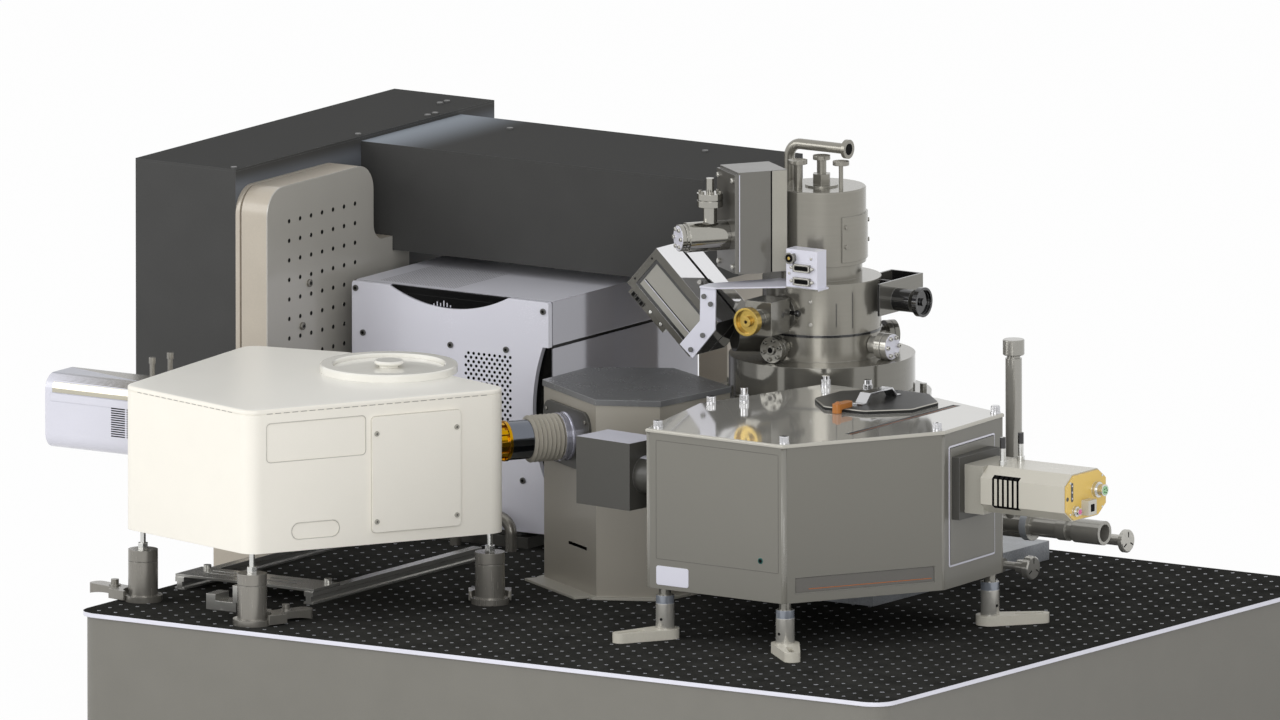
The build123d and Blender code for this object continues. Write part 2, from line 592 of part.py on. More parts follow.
heel = heel - block(catch_x - 20, catch_x + 20, cover_edge - CLEAR, cover_edge + 20, GREY_TOP, plate_top)
pin_y = cover_edge - 8
pieces["turret_latch"] = joined(catch, heel)
pieces["turret_latch_pin"] = stepped((catch_x, pin_y, plate_top + CATCH_THICK), UP, (4, 1.5), (2.5, 1))

# Three posts under the grey spectrograph, each held by a slotted foot
POST_BAND = 44.5
BAND_TOP = 55.0
pieces["grey_posts"] = gathered([
    stepped(
        (x, y, 0), UP, (GREY_POST_RADIUS, POST_BAND), (GREY_POST_RADIUS - 0.3, BAND_TOP - POST_BAND),
        (7.8, GREY_Z0 - BAND_TOP))
    for x, y in GREY_POSTS])


def foot_bar(x, y, angle, length):
    """A slotted foot that runs out from a post and holds it to the table."""
    hub, tip, high = GREY_POST_RADIUS + 6, 10.5, 12.5
    blank = make_hull(joined(Circle(hub), Pos(length - tip, 0) * Circle(tip)).edges())
    slot = Pos((length + hub) / 2 + 3, 0) * SlotOverall(length - hub - 20, 7.5)
    bar = extrude(blank - Circle(GREY_POST_RADIUS) - slot, high)
    return Pos(x, y, 0) * Rot(0, 0, angle) * bar


pieces["grey_foot_bars"] = gathered([
    foot_bar(*post, angle, GREY_FOOT_LENGTH) for post, angle in zip(GREY_POSTS, GREY_FEET)])

# Detector camera on the right wall: flange, adapter and an eight-sided finned body
DET_Y = -26.0
DET_Z = BEAM_HEIGHT - 3.5
DET_HALF_WIDTH = 46.5
DET_HALF_HEIGHT = 30.0
DET_CUT_WIDTH = 18.0
DET_CUT_HEIGHT = 13.0
DET_LENGTH = 126.6
VENTS = 6
VENT_PITCH = 7.4
VENT_WIDTH = 3.2
FLANGE_REACH = 14.0
ADAPTER_REACH = 42.0
wall_x = along(*right, DET_Y - GREY[2][1])[0] + 2.6
det_x0 = wall_x + ADAPTER_REACH
det_x1 = det_x0 + DET_LENGTH
flange = block(wall_x - 8, wall_x + FLANGE_REACH, DET_Y - 52, DET_Y + 40, DET_Z - 40, DET_Z + 40)
pieces["detector_flange"] = flange - prism(GREY, GREY_Z0, GREY_TOP, 0, 2)
pieces["detector_adapter"] = block(
    wall_x + FLANGE_REACH, det_x0, DET_Y - 40, DET_Y + 34,
    DET_Z - DET_HALF_HEIGHT - 2, DET_Z + DET_HALF_HEIGHT)


def eight_sided(scale_y, scale_z):
    """The camera's section, as (y, z) points about its middle."""
    w, h = DET_HALF_WIDTH, DET_HALF_HEIGHT
    quarter = [(w, h - DET_CUT_HEIGHT), (w - DET_CUT_WIDTH, h)]
    upper = quarter + [(-y, z) for y, z in reversed(quarter)]
    whole = upper + [(-y, -z) for y, z in upper]
    return [(DET_Y + y * scale_y, DET_Z + z * scale_z) for y, z in whole]


det = profile_along_x(eight_sided(1, 1), det_x0, det_x1)
for n in range(VENTS):
    x = det_x0 + 17.5 + VENT_PITCH * n
    side_y = DET_Y - DET_HALF_WIDTH
    det = det - block(x, x + VENT_WIDTH, side_y - 1, side_y + 6, DET_Z - 21, DET_Z + 21)
pieces["detector_body"] = det
END_PLATE = 2.5
pieces["detector_end_plate"] = profile_along_x(eight_sided(0.96, 0.95), det_x1, det_x1 + END_PLATE)
socket_x = det_x1 + END_PLATE
pieces["detector_sockets"] = gathered([
    stepped((socket_x, DET_Y + 22, DET_Z + 4), (1, 0, 0), (10, 5), (7.5, 9)),
    stepped((socket_x, DET_Y - 26, DET_Z - 17), (1, 0, 0), (6.5, 4), (4.5, 4)),
    block(socket_x, socket_x + 11, DET_Y - 11, DET_Y + 7, DET_Z - 24, DET_Z - 5)])
stem_x = det_x0 + 16.7
stem_z = DET_Z + DET_HALF_HEIGHT
pieces["detector_stems"] = gathered([
    stepped((stem_x, DET_Y + dy, stem_z), UP, (5, 6), (3.6, 16)) for dy in (-STEM_OFFSET, STEM_OFFSET)])
pieces["detector_stem_tips"] = gathered([
    upright(stem_x, DET_Y + dy, stem_z + 22, stem_z + 36, 3.8) for dy in (-STEM_OFFSET, STEM_OFFSET)])

# Dark port housing on the grey spectrograph's left wall
port_box = Pos(12, -214, BEAM_HEIGHT) * Rot(0, 0, -7) * Box(88, 62, 86)
neck = rod((56, -220, BEAM_HEIGHT), (82, -224, BEAM_HEIGHT), 24)
pieces["port_housing"] = port_box
pieces["port_neck"] = neck - prism(GREY, GREY_Z0, GREY_TOP) - port_box

# Hexagonal beam tower with its port plate
tower_a, tower_b = TOWER[0], TOWER[1]
cap_z = TOWER_TOP - TOWER_CAP
pieces["tower_flange"] = joined(
    prism(TOWER, 0, TOWER_FLANGE, 0, TOWER_BORDER),
    wall_plate(tower_a, tower_b, 0, 150, 0, TOWER_FLANGE, 0, 27))
tower = prism(TOWER, TOWER_FLANGE, cap_z) - prism(TOWER, TOWER_FLANGE - 1, cap_z - TOWER_WALL, 0, -TOWER_WALL)
pieces["tower_body"] = tower - wall_plate(tower_a, tower_b, 74, 129, 57, 61, -8, 2)
pieces["tower_cap"] = prism(TOWER, cap_z, TOWER_TOP, 0, 1.5)
PORT_PLATE = 4.0
pieces["tower_port_plate"] = wall_plate(
    tower_a, tower_b, COUPLING_S - 69, COUPLING_S + 69, BEAM_HEIGHT - 38, BEAM_HEIGHT + 38, 0, PORT_PLATE, 20)

# Bellows coupling from the port plate to the white spectrometer, square to the tower's wall
near, far = along(tower_a, tower_b, COUPLING_S), along(tower_a, tower_b, COUPLING_S, 1)
beam_way = (far[0] - near[0], far[1] - near[1], 0)


def coupling_point(distance):
    """The point on the coupling's axis at that distance from the tower's wall."""
    x, y = along(tower_a, tower_b, COUPLING_S, distance)
    return (x, y, BEAM_HEIGHT)


RING_LENGTH = 12.0
BARREL_LENGTH = 30.0
COLLAR_LENGTH = 20.0
ring_end = PORT_PLATE + RING_LENGTH
bellows_end = ring_end + BELLOWS_FOLDS * BELLOWS_PITCH
barrel_end = bellows_end + BARREL_LENGTH
collar_end = barrel_end + COLLAR_LENGTH
pieces["coupling_ring"] = stepped(coupling_point(PORT_PLATE), beam_way, (BELLOWS_R - 1, RING_LENGTH))
folds = [(0, 0)]
for n in range(BELLOWS_FOLDS):
    folds += [(BELLOWS_R - 4, n * BELLOWS_PITCH), (BELLOWS_R, (n + 0.5) * BELLOWS_PITCH)]
folds += [(BELLOWS_R - 4, BELLOWS_FOLDS * BELLOWS_PITCH), (0, BELLOWS_FOLDS * BELLOWS_PITCH)]
pieces["coupling_bellows"] = turned(folds, coupling_point(ring_end), beam_way)
pieces["coupling_barrel"] = rod(coupling_point(bellows_end), coupling_point(barrel_end), BELLOWS_R - 5)
pieces["coupling_collar"] = stepped(
    coupling_point(barrel_end), beam_way,
    (BELLOWS_R - 4, 4), (BELLOWS_R - 8, COLLAR_LENGTH - 8), (BELLOWS_R - 4, 4))
nose = rod(coupling_point(collar_end), coupling_point(collar_end + 67), BELLOWS_R - 10)
pieces["coupling_nose"] = nose - prism(WHITE, WHITE_Z0 - 1, WHITE_TOP, WHITE_ROUND)

# Microscope: base slab, chamber, flange, drum and the lens stack
COLUMN = polar(GREY[5], COLUMN_SIDE, FLANGE_R + COLUMN_GAP)
ON_COLUMN = Pos(*COLUMN, 0)
LIGHT_PIPE_R = 20.0
SLAB = [(-7, 57.5), (216, 57.5), (216, 458.5), (-107, 458.5), (-107, 174), (-7, 174)]
ROD_Y = 50.0
ROD_Z = 73.5
ROD_R = 7.0
pieces["column_base_slab"] = prism(SLAB, 0, SLAB_TOP)
chamber = tube((0, 0, SLAB_TOP), (0, 0, CHAMBER_TOP), CHAMBER_R, CHAMBER_R - CHAMBER_WALL)
rod_hole = rod((CHAMBER_R / 2, ROD_Y, ROD_Z), (CHAMBER_R + 2, ROD_Y, ROD_Z), ROD_R + CLEAR)
pieces["chamber_body"] = ON_COLUMN * (chamber - rod_hole)
pieces["chamber_flange"] = ON_COLUMN * upright(0, 0, CHAMBER_TOP, FLANGE_TOP, FLANGE_R)
FLANGE_BOLTS = 12
bolt_spots = [polar((0, 0), 360 / FLANGE_BOLTS * n + 8, FLANGE_R - 10) for n in range(FLANGE_BOLTS)]
pieces["flange_bolts"] = gathered([
    ON_COLUMN * hexagon_bar(*spot, FLANGE_TOP, FLANGE_TOP + 7, 8.5) for spot in bolt_spots])
drum = upright(0, 0, FLANGE_TOP, DRUM_TOP, DRUM_R)
lower_lens = upright(0, 0, DRUM_TOP, LENS_SPLIT, LENS_R)
upper_lens = upright(0, 0, LENS_SPLIT + LENS_SEAL, LENS_TOP, LENS_R)
pieces["column_drum"] = ON_COLUMN * drum
pieces["lower_lens"] = ON_COLUMN * lower_lens
pieces["lens_seal_ring"] = ON_COLUMN * upright(0, 0, LENS_SPLIT, LENS_SPLIT + LENS_SEAL, LENS_R + 1)
pieces["upper_lens"] = ON_COLUMN * upper_lens
pieces["column_neck"] = ON_COLUMN * upright(0, 0, LENS_TOP, NECK_TOP, NECK_R)
lens_room = upright(0, 0, FLANGE_TOP, LENS_TOP, LENS_R + 1)

# Hidden light pipes from the tower to the grey spectrograph and to the chamber
duct = rod((-30, 20, BEAM_HEIGHT), (110, 5, BEAM_HEIGHT), LIGHT_PIPE_R)
pieces["tower_to_grey_pipe"] = duct - prism(TOWER, 0, TOWER_TOP) - prism(GREY, GREY_Z0, GREY_TOP)
low_beam = BEAM_HEIGHT - 50
duct = rod((-90, 110, low_beam), (*COLUMN, low_beam), LIGHT_PIPE_R)
duct = duct - prism(TOWER, 0, TOWER_TOP)
pieces["tower_to_column_pipe"] = duct - upright(*COLUMN, 0, FLANGE_TOP, CHAMBER_R)

# Electron gun housing with its curved cover plate and top fittings
gun = upright(0, 0, NECK_TOP, GUN_TOP, GUN_R)
pieces["gun_housing"] = ON_COLUMN * chamfer(gun.faces().sort_by(Axis.Z)[-1].edges(), 1.5)
PATCH_BOTTOM = NECK_TOP + 5
PATCH_TOP = NECK_TOP + 63
PATCH_THICK = 2.2
patch = tube((0, 0, PATCH_BOTTOM), (0, 0, PATCH_TOP), GUN_R + PATCH_THICK, GUN_R)
wedge = [(0, 0), polar((0, 0), -30, 90), polar((0, 0), 10, 110), polar((0, 0), 50, 90)]
pieces["gun_cover_patch"] = ON_COLUMN * (patch & prism(wedge, PATCH_BOTTOM - 1, PATCH_TOP + 1))
patched = upright(0, 0, PATCH_BOTTOM, PATCH_TOP, GUN_R + PATCH_THICK)
screws = []
for angle in (-24, 44):
    for z in (PATCH_BOTTOM + 20, PATCH_TOP - 13):
        a, b = polar((0, 0), angle, GUN_R), polar((0, 0), angle, GUN_R + PATCH_THICK + 2.3)
        screws.append(rod((*a, z), (*b, z), 2.8) - patched)
pieces["gun_cover_screws"] = ON_COLUMN * gathered(screws)
pieces["gun_top_pins"] = ON_COLUMN * gathered([
    stepped((-16.5, -29, GUN_TOP), UP, (5.5, 30.5), (12, 5)),
    stepped((40.5, -17, GUN_TOP), UP, (2.8, 32.5), (10.5, 5))])
PLUG_HEIGHT = 15.5
plug = joined(
    upright(0, 0, GUN_TOP, GUN_TOP + 2, 21), hexagon_bar(0, 0, GUN_TOP + 2, GUN_TOP + PLUG_HEIGHT, 21))
pieces["gun_top_plug"] = ON_COLUMN * plug
pieces["gun_top_stud"] = ON_COLUMN * stepped((0, 0, GUN_TOP + PLUG_HEIGHT), UP, (6, 18), (11, 5))

# Vent pipe that rises beside the gun and bends over its top
VENT_R = 6.8
VENT_RISE = 45.5
vent = polar((0, 0), 161.4, GUN_R + 10)
vent_z = GUN_TOP + VENT_RISE
vent_end = 22.5
path = FilletPolyline((*vent, LENS_TOP), (*vent, vent_z), (vent_end, vent[1], vent_z), radius=17)
vent_ring = Plane(origin=(*vent, LENS_TOP), z_dir=UP) * Circle(VENT_R)
pieces["vent_pipe"] = ON_COLUMN * sweep(vent_ring, path=path)
pieces["vent_pipe_flange"] = ON_COLUMN * tube(
    (vent_end, vent[1], vent_z), (vent_end + 5, vent[1], vent_z), 12.2, VENT_R + 0.7)

# Ion pump beside the gun, with the vessel and riser on its outer side
PUMP_ANGLE = 235.0
PUMP_HALF = 32.0
PUMP_INNER = 34.8
PUMP_OUTER = 31.0
PUMP_SKIN = 4.5
PUMP_Z0 = NECK_TOP - 5
PUMP_TOP = PUMP_Z0 + 130
pump = polar((0, 0), PUMP_ANGLE, GUN_R + 3.2 + PUMP_INNER)
on_pump = Pos(*pump, 0) * Rot(0, 0, PUMP_ANGLE - 180)
pieces["ion_pump"] = ON_COLUMN * on_pump * block(
    -PUMP_OUTER, PUMP_INNER, -PUMP_HALF, PUMP_HALF, PUMP_Z0, PUMP_TOP)
pieces["ion_pump_plate"] = ON_COLUMN * on_pump * block(
    -PUMP_OUTER - PUMP_SKIN, -PUMP_OUTER, 1 - PUMP_HALF, PUMP_HALF - 1, PUMP_Z0 + 1, PUMP_TOP - 3)
neck_z = PUMP_Z0 + 36
neck = rod((*polar((0, 0), PUMP_ANGLE, GUN_R + 3.2), neck_z), (0, 0, neck_z), 17)
pieces["ion_pump_neck"] = ON_COLUMN * (neck - upright(0, 0, NECK_TOP, GUN_TOP, GUN_R))
vessel_z = PUMP_Z0 + 46
VESSEL_R = 19.0


def pump_point(distance):
    """The point at that distance from the pump's middle, out along the vessel's axis."""
    return (*polar(pump, PUMP_ANGLE, distance), vessel_z)


vessel = rod(pump_point(PUMP_OUTER + PUMP_SKIN), pump_point(90), VESSEL_R)
pieces["pump_side_vessel"] = ON_COLUMN * vessel
pump_way = (math.cos(math.radians(PUMP_ANGLE)), math.sin(math.radians(PUMP_ANGLE)), 0)
pieces["pump_vessel_flange"] = ON_COLUMN * stepped(pump_point(90), pump_way, (17, 4), (15.5, 1), (17, 5))
tee = pump_point(57)
pieces["pump_riser"] = ON_COLUMN * (upright(tee[0], tee[1], vessel_z, vessel_z + 38, 8.8) - vessel)
pieces["pump_riser_flanges"] = ON_COLUMN * stepped(
    (tee[0], tee[1], vessel_z + 38), UP, (16.5, 8), (14.5, 1), (16.5, 8))
pieces["pump_riser_stub"] = ON_COLUMN * upright(tee[0], tee[1], vessel_z + 55, vessel_z + 74, 5)

# X-ray detector box on its snout, tilted towards the specimen
XRAY_TILT = 42.6
XRAY_HALF_LONG = 63.5
XRAY_HALF_WIDE = 32.7
XRAY_FRONT = -155.0
tilt = ON_COLUMN * Pos(-122.5, 0, LENS_TOP - 24) * Rot(0, XRAY_TILT, 0)


def xray_layer(y0, y1, shrink=0.0):
    """One layer of the box, y0 and y1 measured back from its front face."""
    long, wide = XRAY_HALF_LONG - shrink, XRAY_HALF_WIDE - shrink
    return block(-long, long, XRAY_FRONT + y0, XRAY_FRONT + y1, -wide, wide)


recess = block(-54, 52, XRAY_FRONT - 1, XRAY_FRONT + 3, -24, 22)
pieces["xray_box_front"] = tilt * (xray_layer(0, 45) - recess)
pieces["xray_box_window"] = tilt * block(-52, 50, XRAY_FRONT + 1, XRAY_FRONT + 3, -22, 20)
pieces["xray_box_rear"] = tilt * joined(xray_layer(45, 48, 3), xray_layer(48, 82))
pieces["xray_connector_panel"] = tilt * block(-57, 13, XRAY_FRONT + 8, XRAY_FRONT + 38, -45, -XRAY_HALF_WIDE)
snout = ON_COLUMN * (rod((-71.5, -91, LENS_TOP - 71), (0, 0, LENS_TOP - 80), 20) - lens_room)
pieces["xray_snout"] = snout - tilt * block(
    -XRAY_HALF_LONG, XRAY_HALF_LONG, XRAY_FRONT - 14, XRAY_FRONT + 86, -XRAY_HALF_WIDE, XRAY_HALF_WIDE)

# White sheet bracket from the lens top down to the X-ray box, and its connector box
BRACKET = 2.0
bracket_top = LENS_TOP + BRACKET
arm = [
    (-79.5, XRAY_FRONT - 4), (-56.5, XRAY_FRONT - 4), (13.5, -103), (62.5, -103), (62.5, -79),
    (34.5, -57), (-25.5, -57), (-79.5, -137),
]
arm = prism(arm, LENS_TOP, bracket_top) - upright(0, 0, LENS_TOP, bracket_top, NECK_R + CLEAR)
lip = block(-79.5, -56.5, XRAY_FRONT - 4, XRAY_FRONT, LENS_TOP - 0.5, bracket_top)
strip = [(-79.5, 0), (-56.5, 0), (-57.5, -53), (-91.5, -92), (-111, -76), (-80.5, -43)]
strip = profile_along_y([(x, LENS_TOP + z) for x, z in strip], XRAY_FRONT - BRACKET, XRAY_FRONT)
pieces["sheet_bracket"] = ON_COLUMN * joined(arm, lip, strip)
pieces["bracket_screws"] = ON_COLUMN * gathered([
    rod((x, XRAY_FRONT - BRACKET, LENS_TOP + z), (x, XRAY_FRONT - BRACKET - 2.5, LENS_TOP + z), 3.2)
    for x, z in ((-73.5, -11), (-63.5, -20), (-75.5, -61), (-93.5, -81))])
connector_front = -100.0
pieces["connector_box"] = ON_COLUMN * block(12.5, 59.5, connector_front, -79.5, bracket_top, bracket_top + 48)
pieces["connector_sockets"] = ON_COLUMN * gathered([
    rod((20.5, connector_front, bracket_top + 37), (20.5, connector_front - 6, bracket_top + 37), 7.5),
    block(24.5, 49.5, connector_front - 3.5, connector_front, bracket_top + 20, bracket_top + 30),
    block(24.5, 49.5, connector_front - 3.5, connector_front, bracket_top + 3, bracket_top + 13)])

# Side valve with the brass handwheel, in front of the upper lens
VALVE_X = -8.0
VALVE_Z = LENS_TOP - 37
VALVE_STEM = 4.0
BACK_END = -LENS_R - 16
BODY_END = BACK_END - 42
BONNET_END = BODY_END - 12
TOWARDS = (0, -1, 0)
flange = rod((VALVE_X, 14 - LENS_R, VALVE_Z), (VALVE_X, -LENS_R - 8, VALVE_Z), 22)
pieces["valve_flange"] = ON_COLUMN * (flange - upright(0, 0, FLANGE_TOP, LENS_TOP, LENS_R))
valve = joined(
    block(VALVE_X - 19.5, VALVE_X + 19.5, BODY_END, BACK_END, VALVE_Z - 21, VALVE_Z + 22),
    rod((VALVE_X, BACK_END, VALVE_Z), (VALVE_X, -LENS_R - 8, VALVE_Z), 16))
stem_room = rod((VALVE_X, BODY_END - 1, VALVE_Z), (VALVE_X, BODY_END + 16, VALVE_Z), VALVE_STEM + CLEAR)
pieces["valve_body"] = ON_COLUMN * (valve - stem_room)
pieces["valve_bonnet"] = ON_COLUMN * tube(
    (VALVE_X, BONNET_END, VALVE_Z), (VALVE_X, BODY_END, VALVE_Z), 11.5, VALVE_STEM + CLEAR)
WHEEL_R = 18.0
wheel_back = BONNET_END - 7
wheel = [
    (0, 0), (VALVE_STEM, 0), (VALVE_STEM, 34), (WHEEL_R, 34), (WHEEL_R, 44), (15, 44),
    (15, 39), (7, 39), (7, 44), (2.2, 44), (2.2, 40), (0, 40)]
pieces["brass_handwheel"] = ON_COLUMN * turned(wheel, (VALVE_X, wheel_back + 34, VALVE_Z), TOWARDS)

# Blanked vacuum ports round the lower lens: angle, reach from the lens, offset aside
port_z = DRUM_TOP + 17.2


def lens_port(angle, reach, thick, aside=0.0):
    """A short port tube with a pair of vacuum flanges on its end."""
    start = LENS_R + reach
    half = (thick - 1) / 2
    shape = stepped((start - 18, aside, port_z), (1, 0, 0), (11, 18), (16.6, half), (14.5, 1), (16.6, half))
    return Rot(0, 0, angle) * shape - lens_room


pieces["front_port"] = ON_COLUMN * lens_port(-90, 14, 14, -8.5)
pieces["right_port"] = ON_COLUMN * lens_port(0, 13, 18)
pieces["rear_port"] = ON_COLUMN * lens_port(60, 13, 14)

# Aperture drive on the lens's right side, with the black handwheel
APERTURE_Y = 41.0
APERTURE_Z = LENS_TOP - 29
APERTURE_STEM = 3.0
CHANNEL_X = 86.5
lens_side = upright(0, 0, FLANGE_TOP, LENS_TOP + 1, LENS_R)
channel = joined(
    block(38.5, CHANNEL_X, 31, 100, LENS_TOP - 24, LENS_TOP - 4),
    block(CHANNEL_X - 3, CHANNEL_X, 1, 91, LENS_TOP - 45, LENS_TOP - 4))
channel = channel - block(41.5, CHANNEL_X - 3, 33, 97, LENS_TOP - 20, LENS_TOP)
pieces["aperture_channel"] = ON_COLUMN * (channel - lens_side)
pieces["aperture_plate"] = ON_COLUMN * (
    block(66.5, CHANNEL_X - 3, 26, 57, LENS_TOP - 44, LENS_TOP - 24) - lens_side)
motor = rod((CHANNEL_X, APERTURE_Y, APERTURE_Z), (CHANNEL_X + 26, APERTURE_Y, APERTURE_Z), 14.5)
stem_room = rod(
    (CHANNEL_X + 8, APERTURE_Y, APERTURE_Z), (CHANNEL_X + 27, APERTURE_Y, APERTURE_Z), APERTURE_STEM + CLEAR)
pieces["aperture_motor"] = ON_COLUMN * (motor - stem_room)
wheel = [
    (0, 0), (APERTURE_STEM, 0), (APERTURE_STEM, 18), (8, 18), (8, 25), (19, 25),
    (19, 32), (16, 32), (16, 28), (5, 28), (5, 32), (0, 32)]
pieces["black_handwheel"] = ON_COLUMN * turned(wheel, (CHANNEL_X + 9, APERTURE_Y, APERTURE_Z), (1, 0, 0))

# Transfer tube, tall loader tube and the rod and knob beside them, out of the chamber's right side
TUBE_Z = 91.0
TUBE_R = 12.5
TUBE_BORE = 8.0
LOADER_X = 289.5
LOADER_R = 10.5
TUBE_END = 404.5
chamber_room = upright(0, 0, 0, FLANGE_TOP, CHAMBER_R)


def tube_stage(x0, x1, outer, inner=TUBE_BORE):
    """A length of the transfer tube's own stepped outer wall."""
    return tube((x0, 0, TUBE_Z), (x1, 0, TUBE_Z), outer, inner)


transfer = joined(
    tube_stage(CHAMBER_R - 8.5, TUBE_END, TUBE_R), tube_stage(309.5, 319.5, 20),
    tube_stage(360.5, 374.5, 15), tube_stage(TUBE_END - 20, TUBE_END + 22, 15.5, 11))
pieces["transfer_tube"] = ON_COLUMN * (transfer - chamber_room)
LOADER_TOP = 302.0
loader = stepped((LOADER_X, 0, TUBE_Z), UP, (LOADER_R, LOADER_TOP - TUBE_Z), (LOADER_R - 2, 4))
tube_room = rod((LOADER_X - 20, 0, TUBE_Z), (LOADER_X + 19, 0, TUBE_Z), TUBE_R)
pieces["loader_tube"] = ON_COLUMN * (loader - tube_room)
cap = upright(LOADER_X, 0, LOADER_TOP + 4, LOADER_TOP + 24, 13.8)
pieces["loader_cap"] = ON_COLUMN * chamfer(cap.edges(), 1)
GUIDE_END = 274.5
ROD_KNOB = 421.5
guide = tube((CHAMBER_R - 24, ROD_Y, ROD_Z), (GUIDE_END, ROD_Y, ROD_Z), 11, ROD_R + CLEAR)
pieces["rod_guide"] = ON_COLUMN * (guide - chamber_room)
rod_profile = [
    (0, 0), (ROD_R, 0), (ROD_R, ROD_KNOB - 139.5), (13.2, ROD_KNOB - 139.5), (14.7, ROD_KNOB - 138),
    (14.7, ROD_KNOB - 133), (13.2, ROD_KNOB - 131.5), (0, ROD_KNOB - 131.5)]
pieces["transfer_rod"] = ON_COLUMN * turned(rod_profile, (139.5, ROD_Y, ROD_Z), (1, 0, 0))
KNOB_Z = 36.0
KNOB_STEM = 5.0
bush = tube((CHAMBER_R - 13.5, 0, KNOB_Z), (GUIDE_END, 0, KNOB_Z), 8.6, KNOB_STEM + CLEAR)
pieces["stage_bush"] = ON_COLUMN * (bush - chamber_room)
knob_profile = [
    (0, 0), (KNOB_STEM, 0), (KNOB_STEM, 172), (9, 172), (9, 184),
    (13.5, 184), (15, 185.5), (15, 193.5), (13.5, 195), (0, 195)]
pieces["stage_knob"] = ON_COLUMN * turned(knob_profile, (124.5, 0, KNOB_Z), (1, 0, 0))

# Small pieces of one assembly share a node, each as a solid of its own
SHARED = {
    "table_body": ("table_side_wall", "table_bottom_skin", "table_core_ribs"),
    "side_enclosure": ("side_enclosure", "side_enclosure_lid"),
    "rear_enclosure": ("rear_enclosure", "rear_enclosure_lid"),
    "enclosure_supports": ("enclosure_pedestal", "pedestal_tie", "rear_enclosure_post"),
    "cover_screws": ("enclosure_screws", "unit_screws", "white_cover_screws", "bracket_screws"),
    "board_body": ("board_back_plate", "board_spacer", "board_body"),
    "unit_display": ("unit_display", "unit_display_bar", "unit_seam_gasket"),
    "white_lid": ("white_lid", "white_port_ring"),
    "port_lid": ("port_lid_disc", "port_lid_knob"),
    "white_posts": ("white_posts", "white_post_collars", "white_post_studs"),
    "post_clamps": ("post_clamps", "clamp_bolts"),
    "left_camera": ("left_camera_body", "left_camera_strip", "left_camera_adapter", "left_adapter_stems"),
    "bench_rails": ("bench_rails", "rail_cross_plate", "rail_screws", "rail_carriage"),
    "tower_body": ("tower_flange", "tower_body"),
    "coupling_bellows": ("coupling_ring", "coupling_bellows"),
    "light_pipes": ("coupling_barrel", "coupling_nose", "tower_to_grey_pipe", "tower_to_column_pipe"),
    "port_housing": ("port_housing", "port_neck"),
    "grey_housing": ("grey_housing", "grey_side_panel"),
    "grey_lid": ("grey_lid", "grey_lid_strip", "grey_lid_nuts"),
    "turret_latch": ("turret_latch", "turret_latch_pin"),
    "detector_adapter": ("detector_flange", "detector_adapter", "detector_stems", "detector_stem_tips"),
    "detector_end_plate": ("detector_end_plate", "detector_sockets"),
    "chamber_body": ("chamber_body", "chamber_flange", "flange_bolts"),
    "column_lenses": ("column_drum", "lower_lens", "lens_seal_ring", "upper_lens", "column_neck"),
    "gun_housing": (
        "gun_housing", "gun_cover_patch", "gun_cover_screws", "gun_top_pins", "gun_top_plug", "gun_top_stud"),
    "vent_pipe": ("vent_pipe", "vent_pipe_flange"),
    "ion_pump": ("ion_pump", "ion_pump_plate", "ion_pump_neck"),
    "pump_fittings": (
        "pump_side_vessel", "pump_vessel_flange", "pump_riser", "pump_riser_flanges", "pump_riser_stub"),
    "xray_box": ("xray_box_front", "xray_box_window", "xray_box_rear", "xray_connector_panel", "xray_snout"),
    "sheet_bracket": ("sheet_bracket", "connector_box", "connector_sockets"),
    "valve_body": ("valve_flange", "valve_body", "valve_bonnet"),
    "vacuum_ports": ("front_port", "right_port", "rear_port"),
    "aperture_drive": ("aperture_channel", "aperture_motor", "aperture_plate"),
    "loader_tubes": ("transfer_tube", "loader_tube", "loader_cap", "rod_guide", "stage_bush"),
}

shared_by = {piece: node for node, names in SHARED.items() for piece in names}
nodes = {}
for name, shape in pieces.items():
    nodes.setdefault(shared_by.get(name, name), []).extend(shape.solids())

os.makedirs("parts", exist_ok=True)
for name, solids in nodes.items():
    raised = [solid.moved(Location((0, 0, TABLE_HEIGHT))) for solid in solids]
    export_step(Compound(children=raised) if len(raised) > 1 else raised[0], f"parts/{name}.step")
    print(name, len(solids))
print(len(nodes), "nodes")
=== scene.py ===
# %% [markdown]
# # A bench-mounted electron microscope, lesson by lesson
#
# The object is a scanning electron microscope on a drilled optical table, with a
# white and a grey spectrograph, a silver measuring unit and a dark enclosure
# behind them. Its solids are already modelled, and they arrive as a fixed frame.
# In this lesson we dress them: each gets the finish of the real piece, small parts
# are worked out with numpy, and a camera, lamps and a floor show the result.
#
# The first step loads the frame and notes its size before anything is added.

import math

import bpy
import numpy as np
from mathutils import Matrix, Vector


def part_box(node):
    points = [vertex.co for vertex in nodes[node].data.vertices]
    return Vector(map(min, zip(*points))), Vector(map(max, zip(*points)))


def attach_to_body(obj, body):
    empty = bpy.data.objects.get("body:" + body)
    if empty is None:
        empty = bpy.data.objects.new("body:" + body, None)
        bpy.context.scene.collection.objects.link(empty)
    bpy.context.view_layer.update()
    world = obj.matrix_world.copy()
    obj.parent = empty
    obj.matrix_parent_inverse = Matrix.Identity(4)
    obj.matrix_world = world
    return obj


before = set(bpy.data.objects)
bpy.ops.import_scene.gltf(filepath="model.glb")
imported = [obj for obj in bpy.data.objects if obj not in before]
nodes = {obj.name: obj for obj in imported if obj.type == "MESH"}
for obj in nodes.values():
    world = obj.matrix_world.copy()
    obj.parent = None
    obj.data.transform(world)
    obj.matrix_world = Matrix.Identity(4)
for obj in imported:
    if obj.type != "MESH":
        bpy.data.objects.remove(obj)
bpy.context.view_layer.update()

# %% [markdown]
# ## One way to say where things are
#
# On a bench it is natural to measure in millimetres and to start from the table's
# top face, where everything stands. Blender works in metres from the table's
# underside, so one small function turns the first into the second.

# %% Bench millimetres to Blender metres
MM = 0.001
TABLE_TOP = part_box("table_top_plate")[1].z


